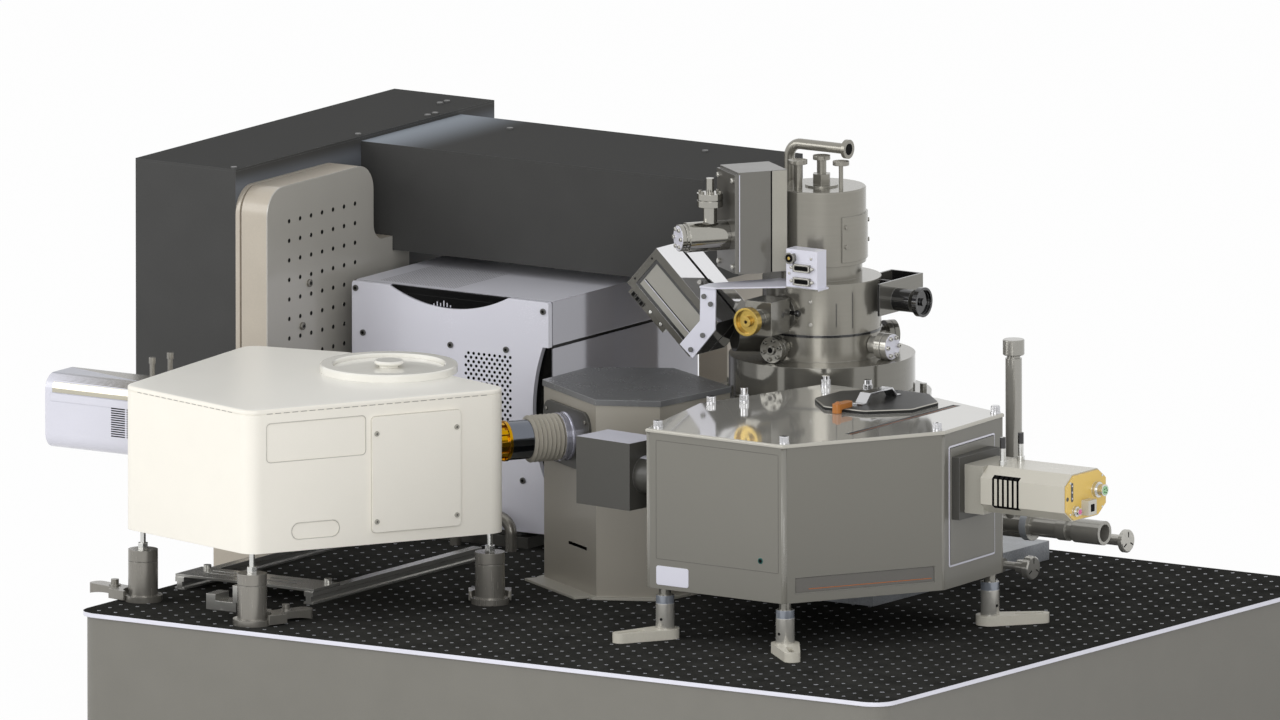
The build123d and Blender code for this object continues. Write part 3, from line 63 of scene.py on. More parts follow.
def bench(points):
    """Metres from bench millimetres: each number times 0.001, and z raised by the table's height."""
    return np.asarray(points, float) * MM + np.array([0, 0, TABLE_TOP])


print("the table's top face is", round(TABLE_TOP / MM), "mm up")

# %% [markdown]
# ## The camera
#
# Parallel edges stay parallel in the photograph, so the camera has no perspective:
# it is orthographic. Its direction and scale come from the table's own grid of
# holes, 25 mm apart, which works like a ruler laid in both directions. The eye is
# placed so that one known hole lands on its own pixel.

# %% Place the camera
PHOTO_WIDTH, PHOTO_HEIGHT = 1280, 720
PIXELS_PER_MM = 0.794158
RULER_PIXEL = (699.868, 658.612)
RULER_XY = (238, -371)
RULER_HOLE = bench((*RULER_XY, 0))
AZIMUTH, ELEVATION, ROLL = np.radians((33.5607, 10.1599, -0.1147))
EYE_DISTANCE = 4.0

level_right = np.array([math.cos(AZIMUTH), math.sin(AZIMUTH), 0])
towards_eye = np.array([
    math.sin(AZIMUTH) * math.cos(ELEVATION), -math.cos(AZIMUTH) * math.cos(ELEVATION), math.sin(ELEVATION)])
level_up = np.cross(towards_eye, level_right)
right = level_right * math.cos(ROLL) + level_up * math.sin(ROLL)
up = np.cross(towards_eye, right)
across = (PHOTO_WIDTH / 2 - RULER_PIXEL[0]) / PIXELS_PER_MM * MM
above = (RULER_PIXEL[1] - PHOTO_HEIGHT / 2) / PIXELS_PER_MM * MM
eye = RULER_HOLE + across * right + above * up + EYE_DISTANCE * towards_eye

camera_data = bpy.data.cameras.new("camera")
camera_data.type = "ORTHO"
camera_data.ortho_scale = PHOTO_WIDTH / PIXELS_PER_MM * MM
camera = bpy.data.objects.new("camera", camera_data)
bpy.context.scene.collection.objects.link(camera)
pose = np.eye(4)
pose[:3] = np.column_stack([right, up, towards_eye, eye])
camera.matrix_world = Matrix(pose.tolist())
bpy.context.scene.camera = camera
print("the camera stands at", eye.round(2), "m")

# %% [markdown]
# ## Two tools for finishes
#
# A colour picked on a screen is an sRGB code, while light adds up in linear
# numbers, so every hex colour passes through one function. The other tool adds a
# shader node: values go on its own sockets, and sockets are linked.

# %% Colours and nodes


def linear(code):
    """Linear RGB from a hex code: the sRGB curve undone, a power of 2.4 above its short straight foot."""
    share = np.array([int(code[i:i + 2], 16) for i in (1, 3, 5)]) / 255
    return np.where(share <= 0.04045, share / 12.92, ((share + 0.055) / 1.055) ** 2.4)


def add_node(owner, kind, inputs=(), **settings):
    """One node on a material or world, with its settings, its values and its links."""
    made = owner.node_tree.nodes.new(kind)
    for key, value in settings.items():
        setattr(made, key, value)
    for key, value in dict(inputs).items():
        if isinstance(value, bpy.types.NodeSocket):
            owner.node_tree.links.new(value, made.inputs[key])
        else:
            made.inputs[key].default_value = value
    return made


print("middle grey #808080 is", linear("#808080").round(3), "in linear light")

# %% [markdown]
# ## What every workshop finish has in common
#
# Paint, anodising and machined metal differ in numbers more than in kind. Each has
# a colour that drifts a little over a hand's breadth, a fine relief that breaks up
# its gloss (orange peel in paint, tool marks in metal), and edges that are never
# perfectly sharp. The edge rounding is done in the shader, so that the solids stay
# as they are, and the same rounded normal tells where an edge is made paler: partly
# wear, and partly a painted highlight along the edge. Every size is given in
# millimetres.

# %% A finish from real sizes
EDGE_RADIUS_MM = 0.9
# Cosines between the rounded and the plain normal where the paler edge, wear and
# painted highlight, begins and where it is full.
EDGE_WEAR_AND_HIGHLIGHT_BEGINS, EDGE_WEAR_AND_HIGHLIGHT_FULL = 0.99, 0.8
# Share of white in the paler edge: wear and a painted highlight.
EDGE_WEAR_AND_HIGHLIGHT_WHITE = 0.6
# Two noises are added, so the part of their range that is used is twice that of one.
NOISE_LOW, NOISE_HIGH = 2 * 0.35, 2 * 0.65
GLOSS_DRIFT = 0.07
COAT_ROUGHNESS = 0.06


def finish(name, code, rough, metal=0.0, specular=0.5, coat=0.0, tone=0.04, cloud_mm=45.0,
           grain_mm=1.5, relief_mm=0.0, lay=(1, 1, 1), edge_wear_and_highlight=0.25):
    """A finish: clouds of tone, a grain that may be drawn out along its lay, and softened edges, paled as
    wear and as a painted highlight.
    """
    made = bpy.data.materials.new(name)
    made.use_nodes = True
    made.node_tree.nodes.clear()
    where = add_node(made, "ShaderNodeTexCoord").outputs["Object"]
    drawn = add_node(made, "ShaderNodeMapping", {"Vector": where, "Scale": lay}).outputs["Vector"]
    clouds = add_node(
        made, "ShaderNodeTexNoise", {"Vector": where, "Scale": 1 / (cloud_mm * MM), "Detail": 4.0})
    grain = add_node(
        made, "ShaderNodeTexNoise", {"Vector": drawn, "Scale": 1 / (grain_mm * MM), "Detail": 2.0})
    both = add_node(
        made, "ShaderNodeMath", {0: clouds.outputs["Fac"], 1: grain.outputs["Fac"]}, operation="ADD")
    spread = {"Value": both.outputs[0], "From Min": NOISE_LOW, "From Max": NOISE_HIGH}
    base = linear(code)
    darker, lighter = [(*np.clip(base * k, 0, 1), 1) for k in (1 - tone, 1 + tone)]
    drift = add_node(made, "ShaderNodeMapRange", spread)
    colour = add_node(
        made, "ShaderNodeMix", {"Factor": drift.outputs["Result"], "A": darker, "B": lighter},
        data_type="RGBA").outputs["Result"]
    soft = add_node(
        made, "ShaderNodeBevel", {"Radius": EDGE_RADIUS_MM * MM}, samples=4).outputs["Normal"]
    plain = add_node(made, "ShaderNodeNewGeometry").outputs["Normal"]
    same = add_node(
        made, "ShaderNodeVectorMath", {0: soft, 1: plain}, operation="DOT_PRODUCT").outputs["Value"]
    wear_and_highlight_share = add_node(made, "ShaderNodeMapRange", {
        "Value": same, "From Min": EDGE_WEAR_AND_HIGHLIGHT_BEGINS, "From Max": EDGE_WEAR_AND_HIGHLIGHT_FULL, "To Max": edge_wear_and_highlight})
    pale = (*np.clip(base * (1 - EDGE_WEAR_AND_HIGHLIGHT_WHITE) + EDGE_WEAR_AND_HIGHLIGHT_WHITE, 0, 1), 1)
    colour = add_node(
        made, "ShaderNodeMix", {"Factor": wear_and_highlight_share.outputs["Result"], "A": colour, "B": pale},
        data_type="RGBA").outputs["Result"]
    gloss = add_node(made, "ShaderNodeMapRange", {
        **spread, "To Min": rough * (1 - GLOSS_DRIFT), "To Max": min(rough * (1 + GLOSS_DRIFT), 1.0)})
    normal = soft
    if relief_mm:
        normal = add_node(made, "ShaderNodeBump", {
            "Height": grain.outputs["Fac"], "Normal": soft, "Strength": 1.0,
            "Distance": relief_mm * MM}).outputs["Normal"]
    shader = add_node(made, "ShaderNodeBsdfPrincipled", {
        "Base Color": colour, "Roughness": gloss.outputs["Result"], "Normal": normal, "Metallic": metal,
        "Specular IOR Level": specular, "Coat Weight": coat, "Coat Roughness": COAT_ROUGHNESS})
    add_node(made, "ShaderNodeOutputMaterial", {"Surface": shader.outputs["BSDF"]})
    return made


print("edges are softened over", EDGE_RADIUS_MM, "mm")

# %% [markdown]
# ## Finishes of the table and the enclosure
#
# The table's top is aluminium that was sand-blasted and then anodised black: it
# eats light, so it has no highlight and its grain shows only as a change of tone.
# Its lip is bare steel. The enclosure is folded sheet with a powder coat, a dry
# matt skin with a fine peel.

# %% Table and enclosure finishes
# Black anodised aluminium, blasted first: near black and mottled, with no shine.
black_anodised = finish(
    "black_anodised_aluminium", "#343432", 0.4, specular=0.0, tone=0.3, grain_mm=2.2, relief_mm=0.02,
    edge_wear_and_highlight=0)
# Brushed stainless lip: the brightest line of the table.
steel_lip = finish("brushed_steel_lip", "#dedee8", 0.32, metal=0.2, lay=(0.05, 0.05, 1))
# Laminate on the table's sides: a smooth warm grey.
side_laminate = finish("grey_side_laminate", "#78766f", 0.45, specular=0.3, relief_mm=0.006)
# Powder coat on folded steel, drawn coarser than its real 0.3 mm peel so that it shows.
dark_powder_coat = finish(
    "dark_powder_coat", "#474746", 0.5, specular=0.1, tone=0.05, grain_mm=1.8, relief_mm=0.02, edge_wear_and_highlight=0.1)
# Screws under the same coat, smoother, and painted a paler grey as a painted
# highlight on their heads, so they show as paler dots.
screw_highlight_grey = finish("cover_screw_painted_highlight", "#6d6d6c", 0.4, specular=0.2, edge_wear_and_highlight=0)
# Beige enamel on the breadboard's sides: smooth and half gloss.
beige_enamel = finish("beige_enamel", "#b9b0a1", 0.32, coat=0.2, edge_wear_and_highlight=0.5)
# Clear-anodised face sheet: it mirrors its neighbours faintly over a pale grey.
clear_anodised = finish("clear_anodised_sheet", "#bab7af", 0.24, metal=0.1, coat=0.4, tone=0.012)
# The inside of a hole or slot, where no light comes back.
deep_black = finish("unlit_opening", "#080808", 0.7, specular=0.1, edge_wear_and_highlight=0)
print("finishes so far:", len(bpy.data.materials))

# %% [markdown]
# ## Finishes of the two spectrographs and the cameras
#
# The white housing has a creamy powder coat, finer than the enclosure's. The grey
# one was sprayed with a gloss enamel, and its lid is polished under a clear coat,
# so the column stands mirrored in it. The small cameras are moulded and sprayed.

# %% Housing finishes
# Cream powder coat: soft, nearly white, with no hard reflections.
cream_powder_coat = finish(
    "cream_powder_coat", "#f2eee3", 0.42, tone=0.012, grain_mm=1.6, relief_mm=0.012, edge_wear_and_highlight=0.4)
# The same white under a clear gloss, for the round port.
glossed_white = finish("glossed_white_lid", "#f3f1e9", 0.22, coat=0.4, tone=0.01)
# The same coat on the lid's upward faces, painted a little greyer as painted shade,
# and smoother, so it catches a broad highlight.
shaded_lid_top_coat = finish("cream_coat_painted_shade_on_lid", "#eeece4", 0.34, tone=0.006, grain_mm=1.6, relief_mm=0.01)
# Satin nickel on the thick posts: dark, with one long soft highlight.
dark_nickel = finish("satin_dark_nickel", "#87847d", 0.26, metal=0.6, lay=(1, 1, 0.06), tone=0.05)
# Turned steel for studs, nuts and small screws: bright and hard.
turned_steel = finish("turned_bright_steel", "#d2d2cf", 0.16, metal=0.9, lay=(0.1, 0.1, 1))
# Pearl enamel of the camera's moulded shell.
pearl_enamel = finish("pearl_enamel_shell", "#d6d6e0", 0.24, coat=0.4, tone=0.015)
# The same shell above, where it is silver and not pearl.
silver_lid = finish("silver_shell_top", "#a3a5b1", 0.3, coat=0.1, tone=0.01)
# Polished nickel silver strip, warm against the pearl shell.
nickel_strip = finish("polished_nickel_strip", "#c3beae", 0.14, metal=0.85, lay=(0.05, 1, 1))
# Drawn aluminium rails: the lines run along the rail.
drawn_aluminium = finish("drawn_aluminium", "#b4b3ae", 0.2, metal=0.7, grain_mm=1.2, lay=(1, 0.03, 1))
# Grey gloss enamel on the right-hand housing.
grey_enamel = finish("grey_gloss_enamel", "#77756d", 0.34, specular=0.4, coat=0.18, tone=0.015, cloud_mm=90)
# The polished lid: grey under a mirror-smooth clear coat.
polished_lid = finish("polished_grey_lid", "#b3b1aa", 0.06, metal=0.3, coat=0.5, tone=0.01, edge_wear_and_highlight=0)
# Light metal colour on the chamfers and sides of the lid and on its cover's chamfer:
# a painted highlight along these edges, with a half bright line. It also gives the
# board's holes their light rims.
light_edge_highlight = finish("light_edge_painted_highlight", "#b5b2a8", 0.2, metal=0.4, coat=0.3)
# Gloss enamel on the rounded corner posts, a shade paler than the walls as a
# painted highlight: each holds one upright line of light.
corner_highlight_enamel = finish("grey_enamel_painted_corner_highlight", "#7f7d75", 0.26, coat=0.4, tone=0.01, edge_wear_and_highlight=0)
# Matt black plate, die-cut and dyed: it shows only at its pale edges, paled as wear
# and as a painted highlight.
matt_black = finish("matt_black_plate", "#30302f", 0.3, specular=0.08, edge_wear_and_highlight=0.9)
# Orange moulded nylon of the catch: a waxy, half dull colour.
orange_nylon = finish("orange_moulded_nylon", "#b5712c", 0.3, relief_mm=0.01, grain_mm=0.8)
# Chrome plate: no colour of its own.
chrome_plate = finish("chrome_plate", "#c4c4c6", 0.08, metal=1.0, tone=0.01)
# Cast feet, painted cream over a pebbly skin, so their highlights are broken up.
cast_enamel = finish("cream_cast_enamel", "#cfcbbe", 0.4, grain_mm=2.5, relief_mm=0.03)
# Cream enamel of the detector camera: a soft shine on a smooth wall.
cream_enamel = finish("cream_enamel", "#c7c3b6", 0.26, coat=0.25, tone=0.012)
# Yellow enamel on the camera's end plate, paler along its edges as wear and as a
# painted highlight.
yellow_enamel = finish("yellow_enamel_plate", "#e5c263", 0.34, grain_mm=1.0, relief_mm=0.006, edge_wear_and_highlight=0.6)
# Warm grey aluminium casting: a fine sandy skin with hardly a highlight.
warm_grey_cast = finish("warm_grey_casting", "#aaa79c", 0.36, grain_mm=2.0, relief_mm=0.012)
print("finishes so far:", len(bpy.data.materials))

# %% [markdown]
# ## Finishes of the vacuum parts and the measuring unit
#
# Vacuum parts are stainless steel, turned on a lathe and cleaned: warm grey, with
# reflections drawn out round the axis. Only small fittings are buffed as well. A
# metal's colour is its reflection, so the tones here are chosen against a white
# surrounding.

# %% Vacuum and unit finishes
# Turned stainless steel, upright axis: fine rings round the column.
turned_stainless = finish(
    "turned_stainless_steel", "#8d8a81", 0.2, metal=0.55, coat=0.15, tone=0.03, grain_mm=3.0,
    lay=(0.05, 0.05, 1))
# Vacuum fittings buffed to a mirror, so they hold dark and bright bands.
buffed_stainless = finish("buffed_stainless_fitting", "#a19f98", 0.07, metal=0.95, tone=0.02)
# The darker, smoother steel of the lower column stack: its bands are sharper.
dark_stainless = finish(
    "dark_stainless_steel", "#7c7a73", 0.11, metal=0.6, coat=0.3, tone=0.03, grain_mm=3.0,
    lay=(0.05, 0.05, 1))
# Tubes of the sample loader: drawn steel, its lines along X, with long dark and bright bands.
drawn_stainless = finish(
    "drawn_stainless_tube", "#a09e97", 0.16, metal=0.45, coat=0.3, tone=0.05, lay=(0.05, 1, 1))
# Satin stainless of small flanges and knobs: pale, with one broad highlight.
satin_stainless = finish("satin_stainless_steel", "#bcbab3", 0.2, metal=0.6, tone=0.03)
# Electropolished flange faces: the palest steel, even and nearly white.
electropolished = finish("electropolished_flange", "#d9d9e4", 0.25, metal=0.15, tone=0.02)
# Pump housing: dark painted sheet that still mirrors its neighbours.
pump_enamel = finish("pump_grey_enamel", "#6c6a63", 0.16, coat=0.5, tone=0.02)
# The same paint on the narrow side and the top, made darker and duller: painted
# shade. The unit's cover perforations take it too, as painted shade in their holes.
shaded_pump_enamel = finish("pump_enamel_painted_shade", "#504e49", 0.3, coat=0.2)
# Lacquered brass, dished on a lathe: yellow with a green cast.
lacquered_brass = finish("lacquered_brass", "#b99d50", 0.24, metal=0.75, tone=0.05)
# Black phenolic resin, moulded and buffed: black with small sharp highlights.
black_resin = finish("black_phenolic_resin", "#101011", 0.1, coat=0.6)
# Aluminium anodised gloss black: a shade paler, with wider highlights.
black_anodised_part = finish("gloss_black_anodising", "#1c1c1d", 0.14, coat=0.4)
# Dark grey anodised frame of the detector box: a smooth metal that stays dim.
frame_grey = finish("dark_grey_anodised_frame", "#55534d", 0.24, metal=0.4, coat=0.25)
# Lacquered plate that closes the box's window: flat, paler than its frame.
window_grey = finish("pale_window_plate", "#8f8d85", 0.18, coat=0.4, tone=0.02)
# Polished aluminium on one side of the box: it gives back the white above it.
polished_side = finish("polished_aluminium_side", "#e4e4e6", 0.05, metal=0.9, tone=0.01)
# White enamelled sheet bracket: cool white, paler still along its cut edges, as wear
# and as a painted highlight.
white_sheet = finish("white_enamelled_sheet", "#dddde8", 0.3, tone=0.01, edge_wear_and_highlight=0.5)
# The tower's warm grey coat on plate: matt, with no grain that shows.
tower_coat = finish("warm_grey_tower_coat", "#9c978c", 0.34, metal=0.1, coat=0.1, tone=0.01)
# Its pebbled black cap: a coarse leathery skin that glitters a little.
pebbled_cap = finish(
    "pebbled_dark_cap", "#656667", 0.26, coat=0.2, tone=0.03, grain_mm=3.2, relief_mm=0.05, edge_wear_and_highlight=0.7)
# Slate grey anodised plate: dark and quiet.
slate_plate = finish("slate_grey_plate", "#454440", 0.36, specular=0.4)
# The coupling's rubber-coated folds: dull as stone.
coated_bellows = finish("stone_coated_bellows", "#aca79b", 0.4, specular=0.35, relief_mm=0.01)
# Polished steel, blued by heat: dark bands with a cold cast.
blued_barrel = finish("polished_blued_steel", "#6c7078", 0.12, metal=1.0, tone=0.05)
# Gold plate on turned steel: a deep yellow mirror.
gold_plate = finish("gold_plated_steel", "#b88a00", 0.16, metal=0.95, tone=0.06)
# Polished ring beside it: nearly white.
pale_ring = finish("polished_pale_ring", "#c9c9d6", 0.12, metal=0.7)
# Metallic lacquer on the unit's front: a cool, even silver without grain.
silver_lacquer = finish("silver_metallic_lacquer", "#e2e2ec", 0.26, coat=0.35, tone=0.006)
# The gloss case behind it: darker, and it mirrors what stands beside it.
silver_case = finish("silver_gloss_case", "#9c9ca4", 0.08, metal=0.35, coat=0.6, tone=0.01)
# The case's top is seen at a low angle, where the same lacquer looks pale and flat.
case_top = finish("silver_case_top", "#cacad1", 0.4, specular=0.2, tone=0.01)
# Display glass over black, unlit: it gives back almost nothing.
display_glass = finish("black_display_glass", "#060606", 0.2, specular=0.1, edge_wear_and_highlight=0)
# Ground blue-grey plate under the column: coarse dark and light specks.
speckled_plate = finish(
    "speckled_blue_grey_plate", "#8b8e92", 0.4, metal=0.3, tone=0.3, grain_mm=2.4, relief_mm=0.05)
# Smoked acrylic, cast and polished: a cool grey disc with a clear highlight.
smoked_acrylic = finish("smoked_acrylic_disc", "#a9adb3", 0.12, coat=0.4)
# Steel band round the posts: glossy, with a cool blue tint.
steel_band = finish("blue_tinted_band", "#8a9099", 0.12, metal=0.35, coat=0.5)
print("finishes so far:", len(bpy.data.materials))

# %% [markdown]
# ## A finish that changes along the piece
#
# The rear beam's top carries a painted reflection, a pale glow that is strongest at
# the joint with its neighbour and fades further on, and the wall above the breadboard
# carries a painted reflection in one level strip. So a finish needs a second colour
# that fades along an axis.

# %% Fading a finish


def fade(made, axis, near, far, code):
    """Mixes in a second colour along an axis: all of it at near, none at far, in bench millimetres."""
    shader = next(n for n in made.node_tree.nodes if n.type == "BSDF_PRINCIPLED")
    raised = TABLE_TOP if axis == "Z" else 0.0
    where = add_node(made, "ShaderNodeTexCoord").outputs["Object"]
    place = add_node(made, "ShaderNodeSeparateXYZ", {"Vector": where}).outputs[axis]
    share = add_node(
        made, "ShaderNodeMapRange", {
            "Value": place, "From Min": near * MM + raised, "From Max": far * MM + raised,
            "To Min": 1.0, "To Max": 0.0},
        interpolation_type="SMOOTHSTEP")
    mixed = add_node(made, "ShaderNodeMix", {
        "Factor": share.outputs["Result"], "A": shader.inputs["Base Color"].links[0].from_socket,
        "B": (*linear(code), 1)}, data_type="RGBA")
    made.node_tree.links.new(mixed.outputs["Result"], shader.inputs["Base Color"])
    return made


# Powder coat with a painted reflection: a pale bluish glow at the joint, and dark
# again further on.
GLOW_PALE_X, GLOW_DARK_X = -717, -600
painted_glow_coat = finish(
    "powder_coat_painted_glow", "#494948", 0.7, specular=0.01, tone=0.05, grain_mm=1.8, edge_wear_and_highlight=0)
fade(painted_glow_coat, "X", GLOW_PALE_X, GLOW_DARK_X, "#9aa1a9")
# The wall's coat with a painted reflection in one level strip: palest at its middle,
# dark above and below.
STRIP_LOW, STRIP_MIDDLE, STRIP_HIGH = 400, 450, 470
painted_reflection_wall = finish("wall_coat_painted_reflection", "#474746", 0.5, specular=0.1, tone=0.05, grain_mm=1.8)
fade(painted_reflection_wall, "Z", STRIP_MIDDLE, STRIP_HIGH, "#6b6f75")
fade(painted_reflection_wall, "Z", STRIP_LOW, STRIP_MIDDLE, "#474746")
# The same coat on the level tops, duller from lying dust.
dusty_powder_coat = finish(
    "dusty_powder_coat", "#494948", 0.7, specular=0.01, tone=0.03, grain_mm=1.8, edge_wear_and_highlight=0)
# The span over which the painted glow, a painted reflection, fades.
print("the coat is rubbed pale over", GLOW_DARK_X - GLOW_PALE_X, "mm")

# %% [markdown]
# ## Painting a solid, and masking parts of it
#
# A painter masks what should stay clear. Here a mask is a question asked of every
# face at once: where is its middle, and which way does it look? Faces that answer
# yes take the second finish. The mesh itself isn't touched.

# %% Paint with masks


def within(low, high):
    """A mask of the faces whose middle lies between two corners, in bench millimetres."""
    return lambda middle, normal: np.all((middle >= np.array(low)) & (middle <= np.array(high)), axis=1)


def looking(way, least=0.9):
    """A mask of the faces whose normal, multiplied with a direction, gives at least a share of one."""
    return lambda middle, normal: normal @ (np.array(way) / np.linalg.norm(way)) >= least


def paint(node, whole, *masked):
    """Gives a node one finish, and other finishes to its masked faces."""
    mesh = nodes[node].data
    count = len(mesh.polygons)
    middle, normal = np.empty(count * 3), np.empty(count * 3)
    mesh.polygons.foreach_get("center", middle)
    mesh.polygons.foreach_get("normal", normal)
    middle = (middle.reshape(-1, 3) - [0, 0, TABLE_TOP]) / MM
    normal = normal.reshape(-1, 3)
    index = np.zeros(count, dtype=np.int32)
    mesh.materials.clear()
    mesh.materials.append(whole)
    for mask, other in masked:
        mesh.materials.append(other)
        index[mask(middle, normal)] = len(mesh.materials) - 1
    mesh.polygons.foreach_set("material_index", index)
    print(node, "has finishes on", np.bincount(index, minlength=len(mesh.materials)).tolist(), "faces")


print("masks are asked of", sum(len(o.data.polygons) for o in nodes.values()), "faces")

# %% [markdown]
# ## Painting the table, the enclosure and the measuring unit
#
# The plate is one solid, but only its upper face is anodised and its lip stays
# bright, so the mask is a thin box round that face.

# %% Table, enclosure, board and unit
UPWARD = (0, 0, 1)
paint("table_top_plate", steel_lip, (within((-607, -515, -0.5), (607, 515, 0.5)), black_anodised))
paint("table_body", side_laminate)
# The wall facing +X carries a painted reflection in a level strip.
paint("side_enclosure", dark_powder_coat,
      (looking(UPWARD), dusty_powder_coat), (looking((1, 0, 0)), painted_reflection_wall))
# The beam's top carries a painted glow: a painted reflection fading from the joint.
paint("rear_enclosure", dark_powder_coat, (looking(UPWARD), painted_glow_coat))
# The screw heads take the paler grey: a painted highlight.
paint("cover_screws", screw_highlight_grey, (within((-620, -510, 90), (-160, -80, 280)), warm_grey_cast))
paint("enclosure_supports", beige_enamel)
paint("board_body", beige_enamel)
paint("board_face_sheet", clear_anodised)
paint("unit_front_panel", silver_lacquer)
paint("unit_upper_cover", silver_case, (looking(UPWARD), case_top))
paint("unit_lower_case", silver_case)
paint("unit_display", display_glass)
paint("unit_base", slate_plate)
paint("bent_pipe", dark_nickel)

# %% [markdown]
# ## Painting the white spectrograph and its stands
#
# The posts are one node with their studs, and they part at a height: everything
# above the collar is bright steel, so the mask is a simple box.

# %% White spectrograph
paint("white_housing", cream_powder_coat)
# The lid's upward faces take the greyer copy of the coat: painted shade.
paint("white_lid", cream_powder_coat, (looking(UPWARD), shaded_lid_top_coat),
      (within((-460, -262, 279.5), (-270, -75, 290)), glossed_white))
paint("port_lid", glossed_white)
paint("white_side_cover", cream_powder_coat)
paint("white_posts", dark_nickel, (within((-620, -520, 66.2), (-180, -150, 96)), turned_steel))
paint("post_clamps", dark_nickel)
paint("left_camera", pearl_enamel, (looking(UPWARD, 0.97), silver_lid),
      (within((-720, -320, 248.7), (-600, -230, 292)), dark_nickel))
paint("bench_rails", drawn_aluminium)

# %% [markdown]
# ## Painting the tower, the coupling and the grey spectrograph
#
# The lid's upper face is polished, while its chamfer and sides get a light colour, a painted highlight along
# its edge.
# The vents of the detector camera are slots, so the faces inside them are masked
# by their depth behind the wall.

# %% Tower, coupling, grey spectrograph and detector
paint("tower_body", tower_coat, (within((-250, -100, 56.9), (-100, 0, 61.1)), deep_black),
      (within((-300, -120, -0.1), (20, 180, 3.1)), warm_grey_cast))
paint("tower_cap", pebbled_cap)
paint("tower_port_plate", slate_plate)
paint("coupling_bellows", coated_bellows)
paint("light_pipes", blued_barrel)
paint("coupling_collar", gold_plate)
paint("port_housing", slate_plate, (looking(UPWARD), electropolished))
paint("grey_housing", grey_enamel)
# Its sides and chamfer take the light edge colour: a painted highlight.
paint("grey_lid", polished_lid,
      (within((50, -295, 262), (430, 110, 267.55)), light_edge_highlight),
      (within((329.9, -179.1, 265), (342.1, 68.1, 267.3)), matt_black),
      (within((50, -295, 267.65), (430, 110, 290)), chrome_plate))
# The cover's chamfer takes the light edge colour: a painted highlight on the lit chamfer.
paint("turret_cover", matt_black, (
    lambda middle, normal: (normal[:, 2] > 0.4) & (normal[:, 2] < 0.95), light_edge_highlight))
paint("turret_handle", chrome_plate)
paint("turret_latch", orange_nylon)
paint("grey_posts", satin_stainless, (within((90, -300, 44.6), (430, 60, 54.9)), steel_band),
      (within((90, -300, 55.1), (430, 60, 64)), dark_stainless))
paint("grey_foot_bars", cast_enamel)
paint("detector_adapter", warm_grey_cast,
      (within((400, -90, 140), (436.6, 30, 240)), slate_plate),
      (within((460, -60, 222.1), (500, 10, 243.9)), turned_steel),
      (within((460, -60, 243.95), (500, 10, 260)), black_resin))
paint("detector_body", cream_enamel, (within((480, -72.4, 165), (525, -66.4, 220)), deep_black))
paint("detector_end_plate", yellow_enamel,
      (within((593.6, -60, 160), (606, -43, 182)), turned_steel),
      (within((593.6, -15, 180), (608, 8, 208)), turned_steel),
      (within((593.6, -38, 166), (606, -18, 190)), cream_enamel))

# %% [markdown]
# ## Painting the microscope
#
# The detector box hangs tilted, so its masks ask which way a face looks: the side
# that faces up and to the right is polished, and the rest is a dark frame.

# %% Column, pump, detector box and loader


def level(degrees):
    """The level direction at an angle from the X axis: (cos t, sin t, 0)."""
    turn = math.radians(degrees)
    return np.array([math.cos(turn), math.sin(turn), 0])


TILT = math.radians(42.6)
TILT_SIDE = np.array([math.sin(TILT), 0, math.cos(TILT)])
TILT_LONG = np.array([math.cos(TILT), 0, -math.sin(TILT)])
WINDOW_Y = 75.0
FRONTWARD = (0, -1, 0)
PUMP_WAY = level(55)
COLUMN = np.array([25.5, 229.0, 0.0])

paint("column_base_slab", speckled_plate)
paint("chamber_body", dark_stainless)
paint("column_lenses", turned_stainless,
      (within((-120, 80, 232), (180, 380, 281)), dark_stainless),
      (within((-60, 140, 312.2), (110, 320, 315.8)), black_anodised_part))
paint("gun_housing", turned_stainless)
paint("vent_pipe", turned_stainless)
# The narrow side and the top take the darker copy of the paint: painted shade.
paint("ion_pump", pump_enamel, (looking(-PUMP_WAY), shaded_pump_enamel), (looking(UPWARD), shaded_pump_enamel))
paint("pump_fittings", buffed_stainless)
paint("xray_box", frame_grey,
      (looking(TILT_SIDE), polished_side), (looking(TILT_LONG), black_anodised_part),
      (lambda middle, normal: (normal @ np.array(FRONTWARD) > 0.9) & (abs(middle[:, 1] - WINDOW_Y) < 0.4),
       window_grey))
paint("sheet_bracket", white_sheet, (within((30, 120, 380), (90, 128.9, 425)), dark_stainless))
paint("valve_body", dark_stainless)
paint("brass_handwheel", lacquered_brass)
paint("vacuum_ports", dark_stainless, (within((100, 200, 270), (140, 250, 320)), satin_stainless))
paint("aperture_drive", black_anodised_part, (looking((1, 0, 0)), dark_stainless))
paint("black_handwheel", black_resin)
paint("loader_tubes", drawn_stainless, (within((335.2, 200, 70), (344.8, 260, 112)), smoked_acrylic))
paint("transfer_rod", satin_stainless)
paint("stage_knob", satin_stainless)
print("every node is painted:", all(len(o.data.materials) for o in nodes.values()))

# %% [markdown]
# ## Small turned parts
#
# Screws, bolt heads, sockets and hole rims all come off a lathe. A lathe's shape
# is a function of two parameters: how far along the profile, and how far round.
# Both are laid out on a grid, and the two ends close on the axis.

# %% A lathe and a grid of faces


def grid_faces(rows, columns, wrap=False):
    """Corner numbers of a grid's cells: the columns close on themselves, and the rows too if wrapped."""
    row = np.arange(rows if wrap else rows - 1)[:, None]
    column = np.arange(columns)[None, :]
    here, above_it = row * columns, (row + 1) % rows * columns
    beside = (column + 1) % columns
    return np.stack([here + column, here + beside, above_it + beside, above_it + column], -1).reshape(-1, 4)


